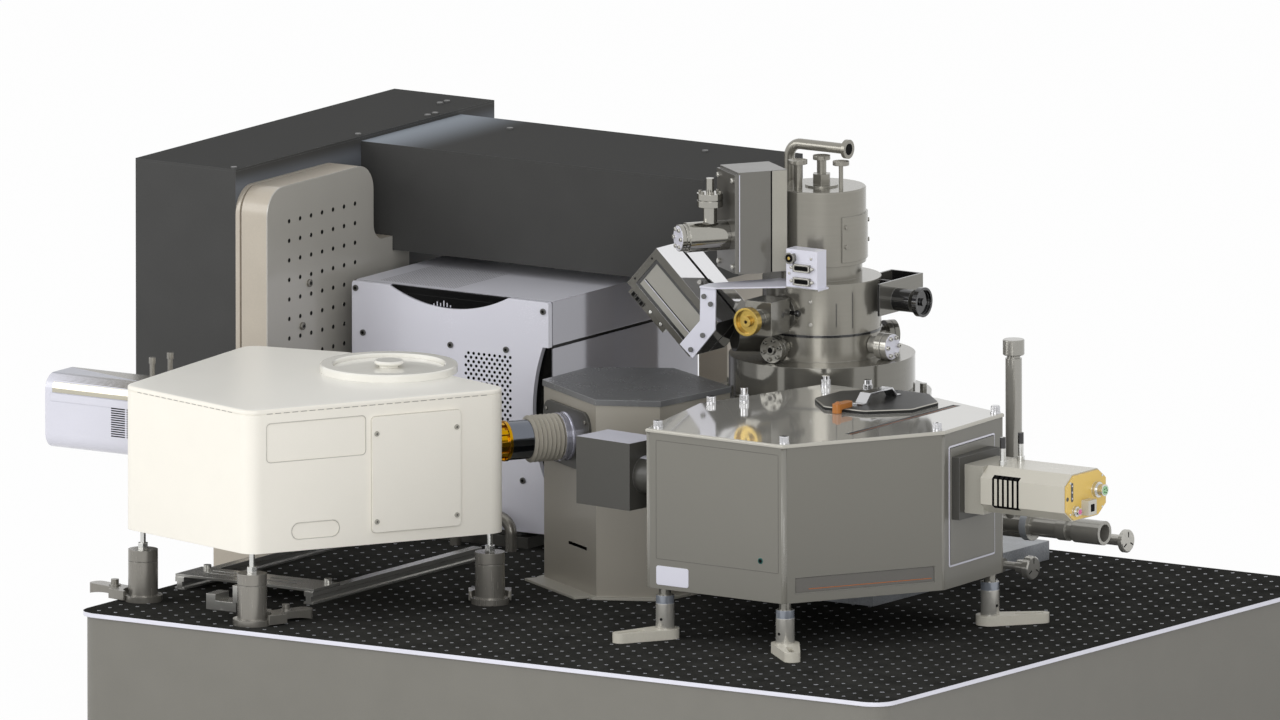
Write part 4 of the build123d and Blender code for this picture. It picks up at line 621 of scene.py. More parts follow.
def lathe(*profile, sides=20):
    """A turned shape: at turn t and profile point (r, h) the surface is (r cos t, r sin t, h)."""
    radius, height = np.array(profile, float).T
    turn = np.linspace(0, 2 * np.pi, sides, endpoint=False)
    ring = np.stack([np.outer(radius, np.cos(turn)), np.outer(radius, np.sin(turn)),
                     np.outer(height, np.ones(sides))], -1)
    points = np.concatenate([ring.reshape(-1, 3), [[0, 0, height[0]], [0, 0, height[-1]]]])
    step = np.arange(sides)
    after = (step + 1) % sides
    last = (len(profile) - 1) * sides
    foot = np.stack([np.full(sides, last + sides), after, step], 1)
    head = np.stack([np.full(sides, last + sides + 1), last + step, last + after], 1)
    return points, grid_faces(len(profile), sides).tolist() + foot.tolist() + head.tolist()


print("a washer of 20 sides has", len(lathe((4, 0), (4, 1))[1]), "faces")

# %% [markdown]
# ## Small flat parts
#
# Labels, slots and windows are plates with rounded corners, and trim is the same
# outline as a band. The outline is one parameter and the way through the plate's
# thickness is the other.

# %% Plates and bands
CORNER_POINTS = 4
OUTLINE_POINTS = 4 * CORNER_POINTS


def rounded(width, height, corner):
    """A rounded rectangle: four corner centres, each plus the corner radius times (cos t, sin t)."""
    quarter = np.linspace(0, np.pi / 2, CORNER_POINTS)[None, :] + np.arange(4)[:, None] * np.pi / 2
    centre_x = (width / 2 - corner) * np.array([1, -1, -1, 1])[:, None]
    centre_y = (height / 2 - corner) * np.array([1, 1, -1, -1])[:, None]
    x, y = centre_x + corner * np.cos(quarter), centre_y + corner * np.sin(quarter)
    return np.stack([x, y], -1).reshape(-1, 2)


def layers(width, height, corner, steps):
    """That outline at each (height above the wall, distance drawn in) step, one row each."""
    rows = [np.column_stack([rounded(width - 2 * inset, height - 2 * inset, max(corner - inset, 0.02)),
                             np.full(OUTLINE_POINTS, lift)]) for lift, inset in steps]
    return np.concatenate(rows)


def capped(rows, columns):
    """The faces of a grid, with one flat face over its last row and one under its first."""
    head = list(range((rows - 1) * columns, rows * columns))
    foot = list(range(columns - 1, -1, -1))
    return grid_faces(rows, columns).tolist() + [head, foot]


def slab(width, height, thick, corner=0.4, ease=0.15):
    """A flat plate: the outline carried out from the wall and drawn in a little at the front."""
    points = layers(width, height, corner, ((0, 0), (thick - ease, 0), (thick, ease)))
    return points, capped(3, OUTLINE_POINTS)


def band(width, height, wide, thick, corner=1.0):
    """A flat frame: the outline carried out, in over its front, and back, closed both ways."""
    points = layers(width, height, corner, ((0, 0), (thick, 0), (thick, wide), (0, wide)))
    return points, grid_faces(4, OUTLINE_POINTS, wrap=True).tolist()


print("a plate's outline has", len(rounded(10, 5, 1)), "points")

# %% [markdown]
# ## Bars, and bands that follow rounded corners
#
# Trim comes in two kinds. A bar is one section carried straight on. A band follows
# the outline of a housing, and a housing's outline is its walls joined by arcs, so
# the arcs' points alone describe it: the walls are the gaps between them.

# %% Bars and outlines
ARC_POINTS = 7


def bar(section, length):
    """A straight bar: every point of the section, carried from 0 to the length along z."""
    count = len(section)
    points = np.concatenate([np.column_stack([section, np.full(count, end)]) for end in (0, length)])
    return points, capped(2, count)


def rounded_outline(corners, radius):
    """Points and outward normals of a rounded polygon: arc centre plus radius times (cos t, sin t)."""
    sides = np.stack([np.roll(corners, 1, axis=0) - corners, np.roll(corners, -1, axis=0) - corners])
    sides /= np.linalg.norm(sides, axis=2)[:, :, None]
    half = np.arccos(np.sum(sides[0] * sides[1], axis=1)) / 2
    bisector = sides.sum(axis=0) / np.linalg.norm(sides.sum(axis=0), axis=1)[:, None]
    centre = corners + bisector * (radius / np.sin(half))[:, None]
    start = np.arctan2(sides[0][:, 0], -sides[0][:, 1])
    turn = start[:, None] + (np.pi - 2 * half)[:, None] * np.linspace(0, 1, ARC_POINTS)
    outward = np.stack([np.cos(turn), np.sin(turn)], -1)
    return (centre[:, None] + radius * outward).reshape(-1, 2), outward.reshape(-1, 2)


def ribbon(corners, radius, profile):
    """A closed band: the outline moved out by each profile distance and set at its height, row after row."""
    path, outward = rounded_outline(corners, radius)
    rows = [np.column_stack([path + out * outward, np.full(len(path), z)]) for out, z in profile]
    return np.concatenate(rows), grid_faces(len(profile), len(path), wrap=True).tolist()


square = np.array([(0, 0), (9, 0), (9, 9), (0, 9.0)])
print("a square rounded at its corners has", len(rounded_outline(square, 1)[0]), "points")

# %% [markdown]
# ## Setting copies in place
#
# A small part is made once, lying on its back, and then set on a wall as often as
# needed. Three axes say how the wall lies: along it, up it and out of it. All the
# copies are worked out in one sum, and each finished piece says which body of the
# machine it moves with. Holes are drawn as dark discs, so they get a short function
# of their own.

# %% Axes of a wall, and copies on it


def facing(way):
    """(along, up, out) axes of a wall that faces a level direction: along is up crossed with out."""
    out = np.array(way, float) / np.linalg.norm(way)
    return np.array([np.cross(UPWARD, out), UPWARD, out])


FLAT = np.eye(3)


def attach(name, shape, spots, axes, coat, body="bench", smooth=False):
    """Copies of a shape: each corner is spot + x along + y up + z out. Axes may differ from spot to spot."""
    points, faces = shape
    spots = np.atleast_2d(np.array(spots, float))
    turned = np.broadcast_to(axes, (len(spots), 3, 3))
    corners = spots[:, None, :] + np.einsum("pa,kac->kpc", points, turned)
    mesh = bpy.data.meshes.new(name)
    numbered = [[i + k * len(points) for i in face] for k in range(len(spots)) for face in faces]
    mesh.from_pydata(bench(corners.reshape(-1, 3)), [], numbered)
    mesh.materials.append(coat)
    if smooth:
        mesh.polygons.foreach_set("use_smooth", np.ones(len(mesh.polygons), dtype=bool))
    made = bpy.data.objects.new(name, mesh)
    bpy.context.scene.collection.objects.link(made)
    print(name, len(spots), "x", len(faces), "faces")
    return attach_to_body(made, body)


def bore(name, radius, low, high, sides, spots, axes, body="bench"):
    """Holes, drawn as dark discs: a lathe part of one radius, from a low to a high place along out."""
    attach(name, lathe((radius, low), (radius, high), sides=sides), spots, axes, deep_black, body=body)


# %% [markdown]
# ## The table's grid of threaded holes
#
# The table is tapped on a 25 mm square. From this low an angle you don't look into
# a hole: you see its far countersunk edge, a pale dash. So each hole is a thin pale
# rim with a small dark middle. There are well over a thousand, so each has only a
# few faces. Two numpy ranges give the whole grid.

# %% Threaded holes of the table
GRID_MM = 25.0
HOLE_REACH_X, HOLE_REACH_Y = 600, 508
hole_x, hole_y = np.meshgrid(
    RULER_XY[0] + GRID_MM * np.arange(-33, 15), RULER_XY[1] + GRID_MM * np.arange(-5, 36))
holes = np.stack([hole_x.ravel(), hole_y.ravel(), np.zeros(hole_x.size)], 1)
holes = holes[(abs(holes[:, 0]) < HOLE_REACH_X) & (abs(holes[:, 1]) < HOLE_REACH_Y)]
# Cut edge of the anodised plate: bare grey metal.
cut_edge = finish("bare_countersink", "#b3b5bc", 0.4, metal=0.1, edge_wear_and_highlight=0)
attach("hole_countersinks", lathe((2.5, -0.3), (2.5, 0.05), (2.0, 0.1), sides=8), holes, FLAT, cut_edge)
bore("hole_bores", 0.8, -0.3, 0.12, 6, holes, FLAT)

# %% [markdown]
# ## The upright breadboard
#
# The board is drilled on the same 25 mm square, turned upright. Here we look
# almost straight at the holes, so they are dark with a thin light rim. Two cap
# screws sit among them.

# %% Holes and screws of the board
BOARD_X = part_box("board_face_sheet")[1].x / MM
RIGHTWARD = facing((1, 0, 0))
board_y, board_z = np.meshgrid(62.3 + GRID_MM * np.arange(7), 106 + GRID_MM * np.arange(13))
board_holes = np.stack([np.full(board_y.size, BOARD_X), board_y.ravel(), board_z.ravel()], 1)
attach("board_hole_rims", lathe((3.3, -0.3), (3.3, 0.1), (2.9, 0.14), sides=12),
       board_holes, RIGHTWARD, light_edge_highlight)
bore("board_hole_bores", 2.7, -0.3, 0.2, 12, board_holes, RIGHTWARD)
board_screws = [(BOARD_X, 107.6, 320.2), (BOARD_X, 91.4, 267.6)]
attach("board_cap_screws", lathe((5, 0), (5, 2.6), (4.3, 3.2)), board_screws, RIGHTWARD, dark_nickel)
bore("board_screw_sockets", 2.4, 3, 3.3, 6, board_screws, RIGHTWARD)

# %% [markdown]
# ## The measuring unit's grille and display
#
# The grille is punched in a staggered pattern, each row moved by half a pitch. It
# stands on the front wall, which faces us, so a row and column number become a
# place along the wall and a height. The display shows six plain level bars.

# %% Grille, display levels and panel screws
UNIT_LEFT, UNIT_FRONT, UNIT_TOP = -641.0, 163.0, 318.0
TOWARDS = facing(FRONTWARD)
row, column = np.meshgrid(np.arange(16), np.arange(9), indexing="ij")
GRILLE_PITCH, GRILLE_RISE = 7.9, 5.3
grille_x = UNIT_LEFT + 172 + GRILLE_PITCH * column + GRILLE_PITCH / 2 * (row % 2)
grille_z = 163 + GRILLE_RISE * row
grille = np.stack([grille_x.ravel(), np.full(row.size, UNIT_FRONT), grille_z.ravel()], 1)
bore("unit_grille", 2.05, -0.5, 0.08, 10, grille, TOWARDS)

for number, tall in enumerate((3, 6, 4.5, 8, 5.5, 3)):
    spot = (UNIT_LEFT + 122 + 5 * number, UNIT_FRONT + 3, 297 + tall / 2)
    attach(f"display_level_{number}", slab(1.8, tall, 0.1), spot, TOWARDS, electropolished)

UNIT_SCREWS = np.array([(6, 9), (289, 12), (17, 65), (149, 68), (233, 66), (258, 231), (31, 258)])
panel_screws = np.stack([
    UNIT_LEFT + UNIT_SCREWS[:, 0], np.full(len(UNIT_SCREWS), UNIT_FRONT - 1.6),
    UNIT_TOP - UNIT_SCREWS[:, 1]], 1)
attach("unit_screw_cups", lathe((3.3, -0.2), (3.3, 0.1), (2.9, 0.14)), panel_screws, TOWARDS, slate_plate)
bore("unit_screw_sockets", 1.9, 0, 0.3, 6, panel_screws, TOWARDS)

# %% [markdown]
# ## The unit's perforated top
#
# Warm air leaves through a field of fine holes in the cover. They are finer than
# the picture can show one by one, so they are drawn a little coarser than real
# ones: what matters is that the field reads darker and slightly rough.

# %% Perforated cover
pierced_x, pierced_y = np.meshgrid(-611 + 4.2 * np.arange(27), 186 + 4.6 * np.arange(27))
pierced = np.stack([pierced_x.ravel(), pierced_y.ravel(), np.full(pierced_x.size, UNIT_TOP)], 1)
# The holes take the darker pump paint: painted shade inside them.
attach("cover_perforations", lathe((1.3, -0.4), (1.3, 0.06), sides=6), pierced, FLAT, shaded_pump_enamel)

# %% [markdown]
# ## The white housing's seam and screws
#
# The lid rests on a cream gasket, and the joint shows as a soft groove with a
# broken grey line, a painted shade of the gap. A ribbon along the outline gives the
# gasket, and short grey bars in it, spread from corner to corner, paint that shade.

# %% Joint tabs and cover screws
WHITE = np.array([(-590, -433), (-354, -506), (-167, -189), (-481, -83), (-618, -110)], float)
WHITE_ROUND = 22.0


def wall_of(start, end):
    """(length, unit run, axes) of an upright wall from start to end, its outside on the right."""
    run = np.array([*(np.array(end, float) - start), 0.0])
    length = np.linalg.norm(run)
    run /= length
    return length, run, np.array([run, UPWARD, np.cross(run, UPWARD)])


def on_wall(start, end, s, z, out=0.0):
    """The bench point at distance s along a wall, height z, and out from its face."""
    _, run, axes = wall_of(start, end)
    return np.array([*start, 0.0]) + run * s + axes[2] * out + np.array([0, 0, z])


JOINT_Z, SHADE_DASH_PITCH = 273.0, 12.0
# Cream silicone of the gasket: dull, and whiter than the coat beside it.
gasket_silicone = finish("cream_silicone_gasket", "#efebdf", 0.5, edge_wear_and_highlight=0)
# Painted shade of the lid's joint, drawn as short grey bars; the cover screws' washers take the same grey.
seam_shade_and_washer_grey = finish("grey_seam_shade_and_washer", "#a3a099", 0.5, edge_wear_and_highlight=0)
gasket = [(out, JOINT_Z + rise) for out, rise in ((-2.4, -0.8), (-0.4, -0.8), (-0.4, 0.8), (-2.4, 0.8))]
attach("lid_gasket", ribbon(WHITE, WHITE_ROUND, gasket), (0, 0, 0), FLAT, gasket_silicone)
# Short grey bars in the joint: painted shade of the gap, spread from corner to corner.
for number, (start, end) in enumerate(zip(WHITE, np.roll(WHITE, -1, axis=0))):
    length, run, axes = wall_of(start, end)
    steps = np.arange(WHITE_ROUND + 8, length - WHITE_ROUND - 6, SHADE_DASH_PITCH)
    shade_dashes = np.array([*start, JOINT_Z]) + steps[:, None] * run - axes[2] * 0.6
    attach(f"lid_joint_shade_dashes_{number}", slab(8.5, 1.0, 0.3, 0.3), shade_dashes, axes, seam_shade_and_washer_grey)

white_wall = (WHITE[1], WHITE[2])
white_axes = wall_of(*white_wall)[2]
# Shade that settles in the rim of a recess, drawn 0.9 mm wide so that it shows.
rim_shade = finish("cream_rim_in_shade", "#c9c6bc", 0.6, edge_wear_and_highlight=0)
for name, wide, tall, corner, s, z in (("upper", 140, 51, 6, 95, 235.5), ("lower", 68, 22, 10.5, 94, 120)):
    spot = on_wall(*white_wall, s, z, -1.15)
    attach(f"{name}_recess_rim", band(wide, tall, 0.9, 1.1, corner), spot, white_axes, rim_shade)
attach("cover_rim", band(125.4, 149.4, 0.7, 0.2, 5.5), on_wall(*white_wall, 234, 184), white_axes, rim_shade)
cover_spots = [on_wall(*white_wall, s, z, 5.0) for s in (178, 290) for z in (124, 236.5)]
attach("cover_screw_washers", lathe((3.4, -4.8), (3.4, -1.3), (3.1, -1.1)), cover_spots, white_axes, seam_shade_and_washer_grey)
attach("cover_screw_sockets", lathe((1.3, -0.2), (1.3, 0.12), sides=6), cover_spots, white_axes, slate_plate)

# %% [markdown]
# ## The left camera's strip and vents
#
# A polished strip runs along the shell just where its front turns over into the
# top, so the strip's section bends with it: upright up to the middle of the corner,
# and a part of a circle above. Two columns of level slots sit at the inner end,
# the second one partly behind the white housing.

# %% Camera strip and vents
CAMERA_FRONT = -316.0
CAMERA_CORNER = (-296.0, 236.0, 20.0)
strip_z = np.linspace(234, 247, 8)


def shell_y(z, reach):
    """The shell's y at a height: corner middle minus the root of reach squared less the rise squared."""
    return CAMERA_CORNER[0] - np.sqrt(reach ** 2 - np.maximum(z - CAMERA_CORNER[1], 0) ** 2)


inner = np.column_stack([shell_y(strip_z, CAMERA_CORNER[2] - 1), strip_z])
outer = np.column_stack([shell_y(strip_z, CAMERA_CORNER[2] + 0.5), strip_z])
along_x = np.array([(0, 1, 0), (0, 0, 1), (1, 0, 0)])
attach("camera_strip", bar(np.concatenate([inner, outer[::-1]]), 118), (-776, 0, 0), along_x, nickel_strip)
slot_z = 186.5 + 2.95 * np.arange(14)
long_slots = np.stack([np.full(slot_z.size, -677.0), np.full(slot_z.size, CAMERA_FRONT), slot_z], 1)
attach("camera_vents", slab(21, 1.5, 0.25, 0.5), long_slots, TOWARDS, deep_black)
attach("camera_vents_inner", slab(6, 1.5, 0.25, 0.5), long_slots + [16, 0, 0], TOWARDS, deep_black)

# %% [markdown]
# ## The grey housing's corner posts and front wall
#
# The housing's plates meet in rounded corner posts, which catch a pale line of
# light. The front wall is a panel in a thin light groove, with a blank label in
# its corner and one small port.

# %% Corner posts, label and port
GREY = np.array([(98, -280), (309, -288), (424, -94), (415, 53), (287, 98), (113, 104), (56, -95)], float)
GREY_BOTTOM, GREY_SHOULDER, POST_INSET = 64.0, 263.0, 4.2
centre = GREY.mean(axis=0)
inward = (centre - GREY) / np.linalg.norm(centre - GREY, axis=1)[:, None]
posts = np.column_stack([GREY + inward * POST_INSET, np.full(len(GREY), GREY_BOTTOM)])
post_shape = lathe((4.0, 0.3), (4.2, 0.8), (4.2, GREY_SHOULDER - GREY_BOTTOM), sides=24)
# The posts are a shade paler than the walls: a painted highlight.
attach("grey_corner_posts", post_shape, posts, FLAT, corner_highlight_enamel, smooth=True)

front_wall = (GREY[0], GREY[1])
front_axes = wall_of(*front_wall)[2]
# Shadow line of a panel let in flush: a thin mid-grey line round it.
side_joint = finish("grey_panel_joint", "#5f5d57", 0.5, edge_wear_and_highlight=0)
panel_spot = on_wall(*front_wall, 109, 178)
attach("front_panel_groove", band(190, 152, 0.6, 0.1, 2), panel_spot, front_axes, side_joint)
attach("blank_label", slab(50, 24.5, 0.5, 3), on_wall(*front_wall, 39.5, 81.5), front_axes, white_sheet)
# Teal anodised bush round the small port: only its rim shows.
teal_bush = finish("teal_anodised_bush", "#1f5a54", 0.25, metal=0.5)
port_spot = on_wall(*front_wall, 176, 115.7)
attach("front_port_bush", lathe((3.9, -0.3), (3.9, 0.3), (3.3, 0.45)), port_spot, front_axes, teal_bush)
bore("front_port_bore", 2.6, 0, 0.5, 20, port_spot, front_axes)

# %% [markdown]
# ## The slanted wall's name bar, left bare, and the side frame
#
# The long recess is a place for a maker's sign. Here it keeps its dark floor, its
# light rim and its thin orange line, and carries no words. The right-hand wall
# has a panel in a bright frame.

# %% Name bar and side frame
slant_wall = (GREY[1], GREY[2])
slant_axes = wall_of(*slant_wall)[2]
bar_spot = on_wall(*slant_wall, 114.5, 86)
# Dark tinted floor of the name bar: glossy, so it holds a faint reflection.
bar_tint = finish("dark_tinted_bar", "#5a5751", 0.22, coat=0.4, edge_wear_and_highlight=0)
attach("name_bar_floor", slab(193, 18.6, 0.4, 0.5), bar_spot - 1.5 * slant_axes[2], slant_axes, bar_tint)
attach("name_bar_rim", band(197, 22, 1.0, 0.2, 1.5), bar_spot, slant_axes, corner_highlight_enamel)
# Orange ink, screen printed: flat and strong against the bar.
orange_ink = finish("orange_printed_line", "#c46a24", 0.4, edge_wear_and_highlight=0)
line_spot = on_wall(*slant_wall, 122, 80.5, -1.1)
attach("name_bar_line", slab(172, 0.9, 0.15, 0.3, 0.05), line_spot, slant_axes, orange_ink)

side_wall = (GREY[2], GREY[3])
side_axes = wall_of(*side_wall)[2]
frame_spot = on_wall(*side_wall, 68.5, 168.5)
attach("side_panel_frame", band(115, 155, 2.4, 0.8, 3), frame_spot, side_axes, electropolished)
LEG_RADIUS = 12
leg_centres = np.array([(118, -269, 25), (304, -276, 25), (408.5, 33, 25)])
for number, (leg, degrees) in enumerate(zip(leg_centres, (-82, -97, -10))):
    out = level(degrees)
    bore(f"leg_bore_{number}", 1.9, -1.2, 0.25, 14, leg + LEG_RADIUS * out, facing(out))
lid_line = (336.0, -55.5, 267.05)
attach("lid_strip_line", slab(0.9, 243, 0.15, 0.3, 0.05), lid_line, FLAT, orange_ink)

# %% [markdown]
# ## Knurled lid nuts
#
# The eight nuts that hold the lid, five short and three tall, are knurled for the
# fingers. A knurl is a ring of fine ridges, so its outline is a circle whose radius
# goes up and down twenty times in one turn.

# %% Knurls
KNURL_RIDGES, KNURL_DEPTH_MM = 20, 0.35


def knurl(radius, height):
    """A ribbed drum: radius r + depth cos(ridges t), carried up to the height and drawn in at the top."""
    turn = np.linspace(0, 2 * np.pi, 2 * KNURL_RIDGES, endpoint=False)
    reach = radius + KNURL_DEPTH_MM * np.cos(KNURL_RIDGES * turn)
    share, z = np.array([(1, 0), (1, height - 0.6), (0.86, height)]).T
    ring = np.stack([np.outer(share, reach * np.cos(turn)), np.outer(share, reach * np.sin(turn)),
                     np.outer(z, np.ones(turn.size))], -1).reshape(-1, 3)
    return ring, capped(3, turn.size)


LID_TOP, NUT_RADIUS = 267.6, 5.6
lid_nuts = np.array([(107, -268, LID_TOP), (303, -276, LID_TOP), (412, -92, LID_TOP), (408, 47, LID_TOP),
                     (68, -88, LID_TOP)])
tall_nuts = np.array([(121, 93, LID_TOP), (184, 94, LID_TOP), (96, -55, LID_TOP)])
attach("lid_nut_knurls", knurl(NUT_RADIUS, 8.8), lid_nuts + [0, 0, 0.2], FLAT, chrome_plate)
attach("tall_nut_knurls", knurl(NUT_RADIUS, 7), tall_nuts + [0, 0, 2], FLAT, chrome_plate)
bore("nut_sockets", 2.2, 0, 0.15, 6, lid_nuts + [0, 0, 9.0], FLAT)

# %% [markdown]
# ## The detector camera's end plate
#
# The yellow plate carries four connectors and a strip of indicators. Each is a
# small lathe or plate part that faces along +X. The pins of the round connector
# stand on a circle.

# %% Sockets and indicators
END_X = 593.5


def on_end(y, z, out=0.0):
    """A bench point on the camera's end plate."""
    return (END_X + out, y, z)


# Green glass-filled insert of the round connector, and a pink one: clear colours, half dull.
green_insert = finish("green_connector_insert", "#9fcf9d", 0.3, edge_wear_and_highlight=0)
pink_insert = finish("pink_connector_insert", "#d9659a", 0.3, edge_wear_and_highlight=0)
ROUND_Y, ROUND_Z, PIN_CIRCLE = -4, 196, 3.0
attach("round_connector_insert", lathe((5.6, 0), (5.6, 0.6), (5.2, 0.8)), on_end(ROUND_Y, ROUND_Z, 14),
       RIGHTWARD, green_insert)
pin_turn = np.linspace(0, 2 * np.pi, 5, endpoint=False)
pins = np.stack([np.full(pin_turn.size, END_X + 14.8), ROUND_Y + PIN_CIRCLE * np.cos(pin_turn),
                 ROUND_Z + PIN_CIRCLE * np.sin(pin_turn)], 1)
bore("round_connector_pins", 0.9, 0, 0.3, 8, pins, RIGHTWARD)
attach("small_connector_insert", lathe((3.4, 0), (3.4, 0.5), (3.0, 0.6)), on_end(-52, 175, 8), RIGHTWARD,
       pink_insert)
attach("block_socket", slab(8.5, 9.5, 0.3, 1), on_end(-28, 177, 11), RIGHTWARD, deep_black)
attach("indicator_strip", slab(5, 25, 0.4, 2.4), on_end(-58.4, 200), RIGHTWARD, black_resin)
lights = [on_end(-58.4, z, 0.35) for z in (192, 200, 208)]
attach("indicator_lights", lathe((1.3, 0), (1.3, 0.2), sides=12), lights, RIGHTWARD, electropolished)
attach("plate_jack", lathe((2.6, 0), (2.6, 0.5), (1.6, 0.7)), on_end(-69, 192.6), RIGHTWARD, slate_plate)
plate_screws = [on_end(y, z) for y in (-62, 10) for z in (172, 212)]
plate_screw = lathe((1.6, 0), (1.6, 0.5), (1.2, 0.7), sides=12)
attach("plate_screws", plate_screw, plate_screws, RIGHTWARD, turned_steel)
flange_screws = [(436.2, -72, z) for z in (162, 222)]
bore("flange_screws", 2.2, -0.3, 0.15, 20, flange_screws, RIGHTWARD)

# %% [markdown]
# ## The tilted detector box
#
# The box hangs at 42.6 degrees, so its own axes are tilted too: along the box,
# across it, and out of its front. With those, its window trim, its groove and its
# connector sockets are placed as on any flat wall.

# %% Window and sockets of the tilted box
TILT_ORIGIN = COLUMN + np.array([-122.5, -155.0, 356.0])
tilted_axes = np.array([TILT_LONG, TILT_SIDE, FRONTWARD])


def on_box(x, z, out=0.0):
    """A bench point on the tilted box's front face, x along it and z across it."""
    return TILT_ORIGIN + TILT_LONG * x + TILT_SIDE * z + np.array([0, -out, 0])


attach("window_gasket", band(106, 46, 4.2, 0.5, 1), on_box(-1, -1, -1.2), tilted_axes, black_anodised_part)
attach("window_groove", slab(95, 1.4, 0.15, 0.4, 0.05), on_box(-1, -9.5, -1), tilted_axes, deep_black)
attach("window_groove_light", slab(95, 1.0, 0.2, 0.3, 0.05), on_box(-1, -10.9, -1), tilted_axes,
       electropolished)
frame_screws = [on_box(x, z) for x, z in ((-59, -20), (-59, 18), (58, -20), (58, 18))]
bore("frame_screw_bores", 1.5, -0.2, 0.12, 12, frame_screws, tilted_axes)
socket_spots = [on_box(x, -39.6, -8) for x in (-49, -41, -33)]
attach("panel_socket_shells", slab(6.6, 8.4, 3.2, 0.8), socket_spots, tilted_axes, slate_plate)
socket_mouths = [s + [0, -3.15, 0] for s in socket_spots]
attach("panel_socket_bores", slab(4.2, 5.6, 0.3, 0.5), socket_mouths, tilted_axes, deep_black)
panel_screw_spots = [on_box(x, -39, -8) for x in (-17, 4)]
attach("panel_screws", lathe((2.4, 0), (2.4, 0.9), (1.8, 1.3)), panel_screw_spots, tilted_axes, turned_steel)
stripe_axes = np.array([TILT_LONG, (0, 1, 0), TILT_SIDE])
attach("polished_side_stripe", slab(118, 5, 0.12, 0.4, 0.05), on_box(0, 32.7, -46.5), stripe_axes, deep_black)

# %% [markdown]
# ## The bracket's connectors
#
# The white box on the bracket has one round socket and two D-shaped ones, each
# with a jack screw at both ends.

# %% Connector box
CONNECTOR_FRONT = COLUMN[1] - 100.0
round_spot = (COLUMN[0] + 20.5, CONNECTOR_FRONT - 6, 419)
bore("round_socket_bore", 5.4, -0.2, 0.15, 24, round_spot, TOWARDS)
attach("round_socket_pin", lathe((2.0, 0), (2.0, 0.6), sides=16), round_spot, TOWARDS, lacquered_brass)
d_spots = [(COLUMN[0] + 37, CONNECTOR_FRONT - 3.5, z) for z in (407, 390)]
attach("d_socket_shells", band(24.4, 9.4, 1.4, 0.5, 3), d_spots, TOWARDS, satin_stainless)
attach("d_socket_bores", slab(20, 5.4, 0.2, 2), d_spots, TOWARDS, deep_black)
jacks = [(x + dx, y + 3.5, z) for x, y, z in d_spots for dx in (-15.3, 15.3)]
attach("jack_screws", lathe((2.3, 0), (2.3, 3.4), (1.7, 3.8), sides=6), jacks, TOWARDS, satin_stainless)
box_screws = [(COLUMN[0] + x, CONNECTOR_FRONT, z) for x, z in ((17, 399), (50, 420))]
attach("box_screws", lathe((1.8, 0), (1.8, 0.8), (1.3, 1.1), sides=12), box_screws, TOWARDS, satin_stainless)

# %% [markdown]
# ## The ion pump's cover
#
# The pump stands turned by 55 degrees. Its end plate is held by screws in the
# corners, and the wide side shows a lighter magnet cover behind a dark joint.

# %% Ion pump details
PUMP_SIDE = np.cross(PUMP_WAY, UPWARD)
PUMP = COLUMN + np.array([-53.9, -77.0, 0])
PUMP_FOOT, PUMP_HEIGHT = 394.0, 130.0


def on_pump(x, z, side=32.0):
    """A bench point on the pump: x towards the gun, z above its foot, and side out of its wide wall."""
    return PUMP + PUMP_WAY * x + PUMP_SIDE * side + np.array([0, 0, PUMP_FOOT + z])


wide_axes = facing(PUMP_SIDE)
narrow_axes = facing(-PUMP_WAY)
PUMP_MIDDLE = PUMP_HEIGHT / 2
attach("magnet_cover", slab(20, PUMP_HEIGHT - 1, 0.5, 0.5), on_pump(24.3, PUMP_MIDDLE), wide_axes,
       warm_grey_cast)
attach("magnet_joint", slab(1.8, PUMP_HEIGHT - 1, 0.25, 0.3, 0.05), on_pump(13.4, PUMP_MIDDLE), wide_axes,
       deep_black)
# A pale strip along the end plate's edge: a painted highlight.
attach("plate_edge_highlight", slab(1.3, PUMP_HEIGHT - 6, 0.35, 0.3, 0.05), on_pump(-29.8, PUMP_MIDDLE),
       wide_axes, electropolished)
plate_corners = [on_pump(-35.5, z, side) for side in (-24, 24) for z in (9, 119)]
plate_bolt = lathe((3.4, 0), (3.4, 2.4), (2.6, 3))
attach("pump_plate_screws", plate_bolt, plate_corners, narrow_axes, satin_stainless)

# %% [markdown]
# ## Rings of bolts
#
# Every vacuum flange is closed by bolts on a circle. Their places are the flange's
# centre plus the circle's radius times (cos t, sin t) in the flange's own plane,
# so one function serves flanges that face any way.

# %% Flange bolts


def bolt_ring(name, centre, way, circle, count, coat, head=2.6, tall=2.6, start=0.0):
    """Cap-head bolts on a circle in the plane that faces a way, and a dark socket in each head."""
    axes = FLAT if abs(way[2]) > 0.5 else facing(way)
    turn = start + np.linspace(0, 2 * np.pi, count, endpoint=False)
    spots = centre + circle * (np.outer(np.cos(turn), axes[0]) + np.outer(np.sin(turn), axes[1]))
    attach(name, lathe((head, 0), (head, tall - 0.4), (head - 0.4, tall), sides=12), spots, axes, coat)
    bore(name + "_sockets", head * 0.45, 0, 0.1, 6, spots + tall * axes[2], axes)


vessel_end = PUMP - PUMP_WAY * 100 + np.array([0, 0, 440.0])
vessel_disc = lathe((15.8, -0.5), (15.8, 0.5), (15.2, 0.8), sides=32)
attach("vessel_blank", vessel_disc, vessel_end, narrow_axes, electropolished)
bolt_ring("vessel_bolts", vessel_end - PUMP_WAY * 0.8, -PUMP_WAY, 12.3, 6, satin_stainless)
riser_top = PUMP - PUMP_WAY * 57 + np.array([0, 0, 495.0])
bolt_ring("riser_bolts", riser_top, np.array(UPWARD), 13.2, 6, turned_stainless, 2.2, 3.2, 0.3)
PORT_Z = 298.2
front_port = COLUMN + np.array([-8.5, -103, PORT_Z])
bolt_ring("front_port_bolts", front_port, np.array(FRONTWARD), 12.6, 6, dark_stainless, 2.8, 3.4, 0.3)
attach("front_port_boss", lathe((6.2, 0), (6.2, 2.2), (5.4, 2.6), sides=24), front_port, TOWARDS,
       dark_stainless)
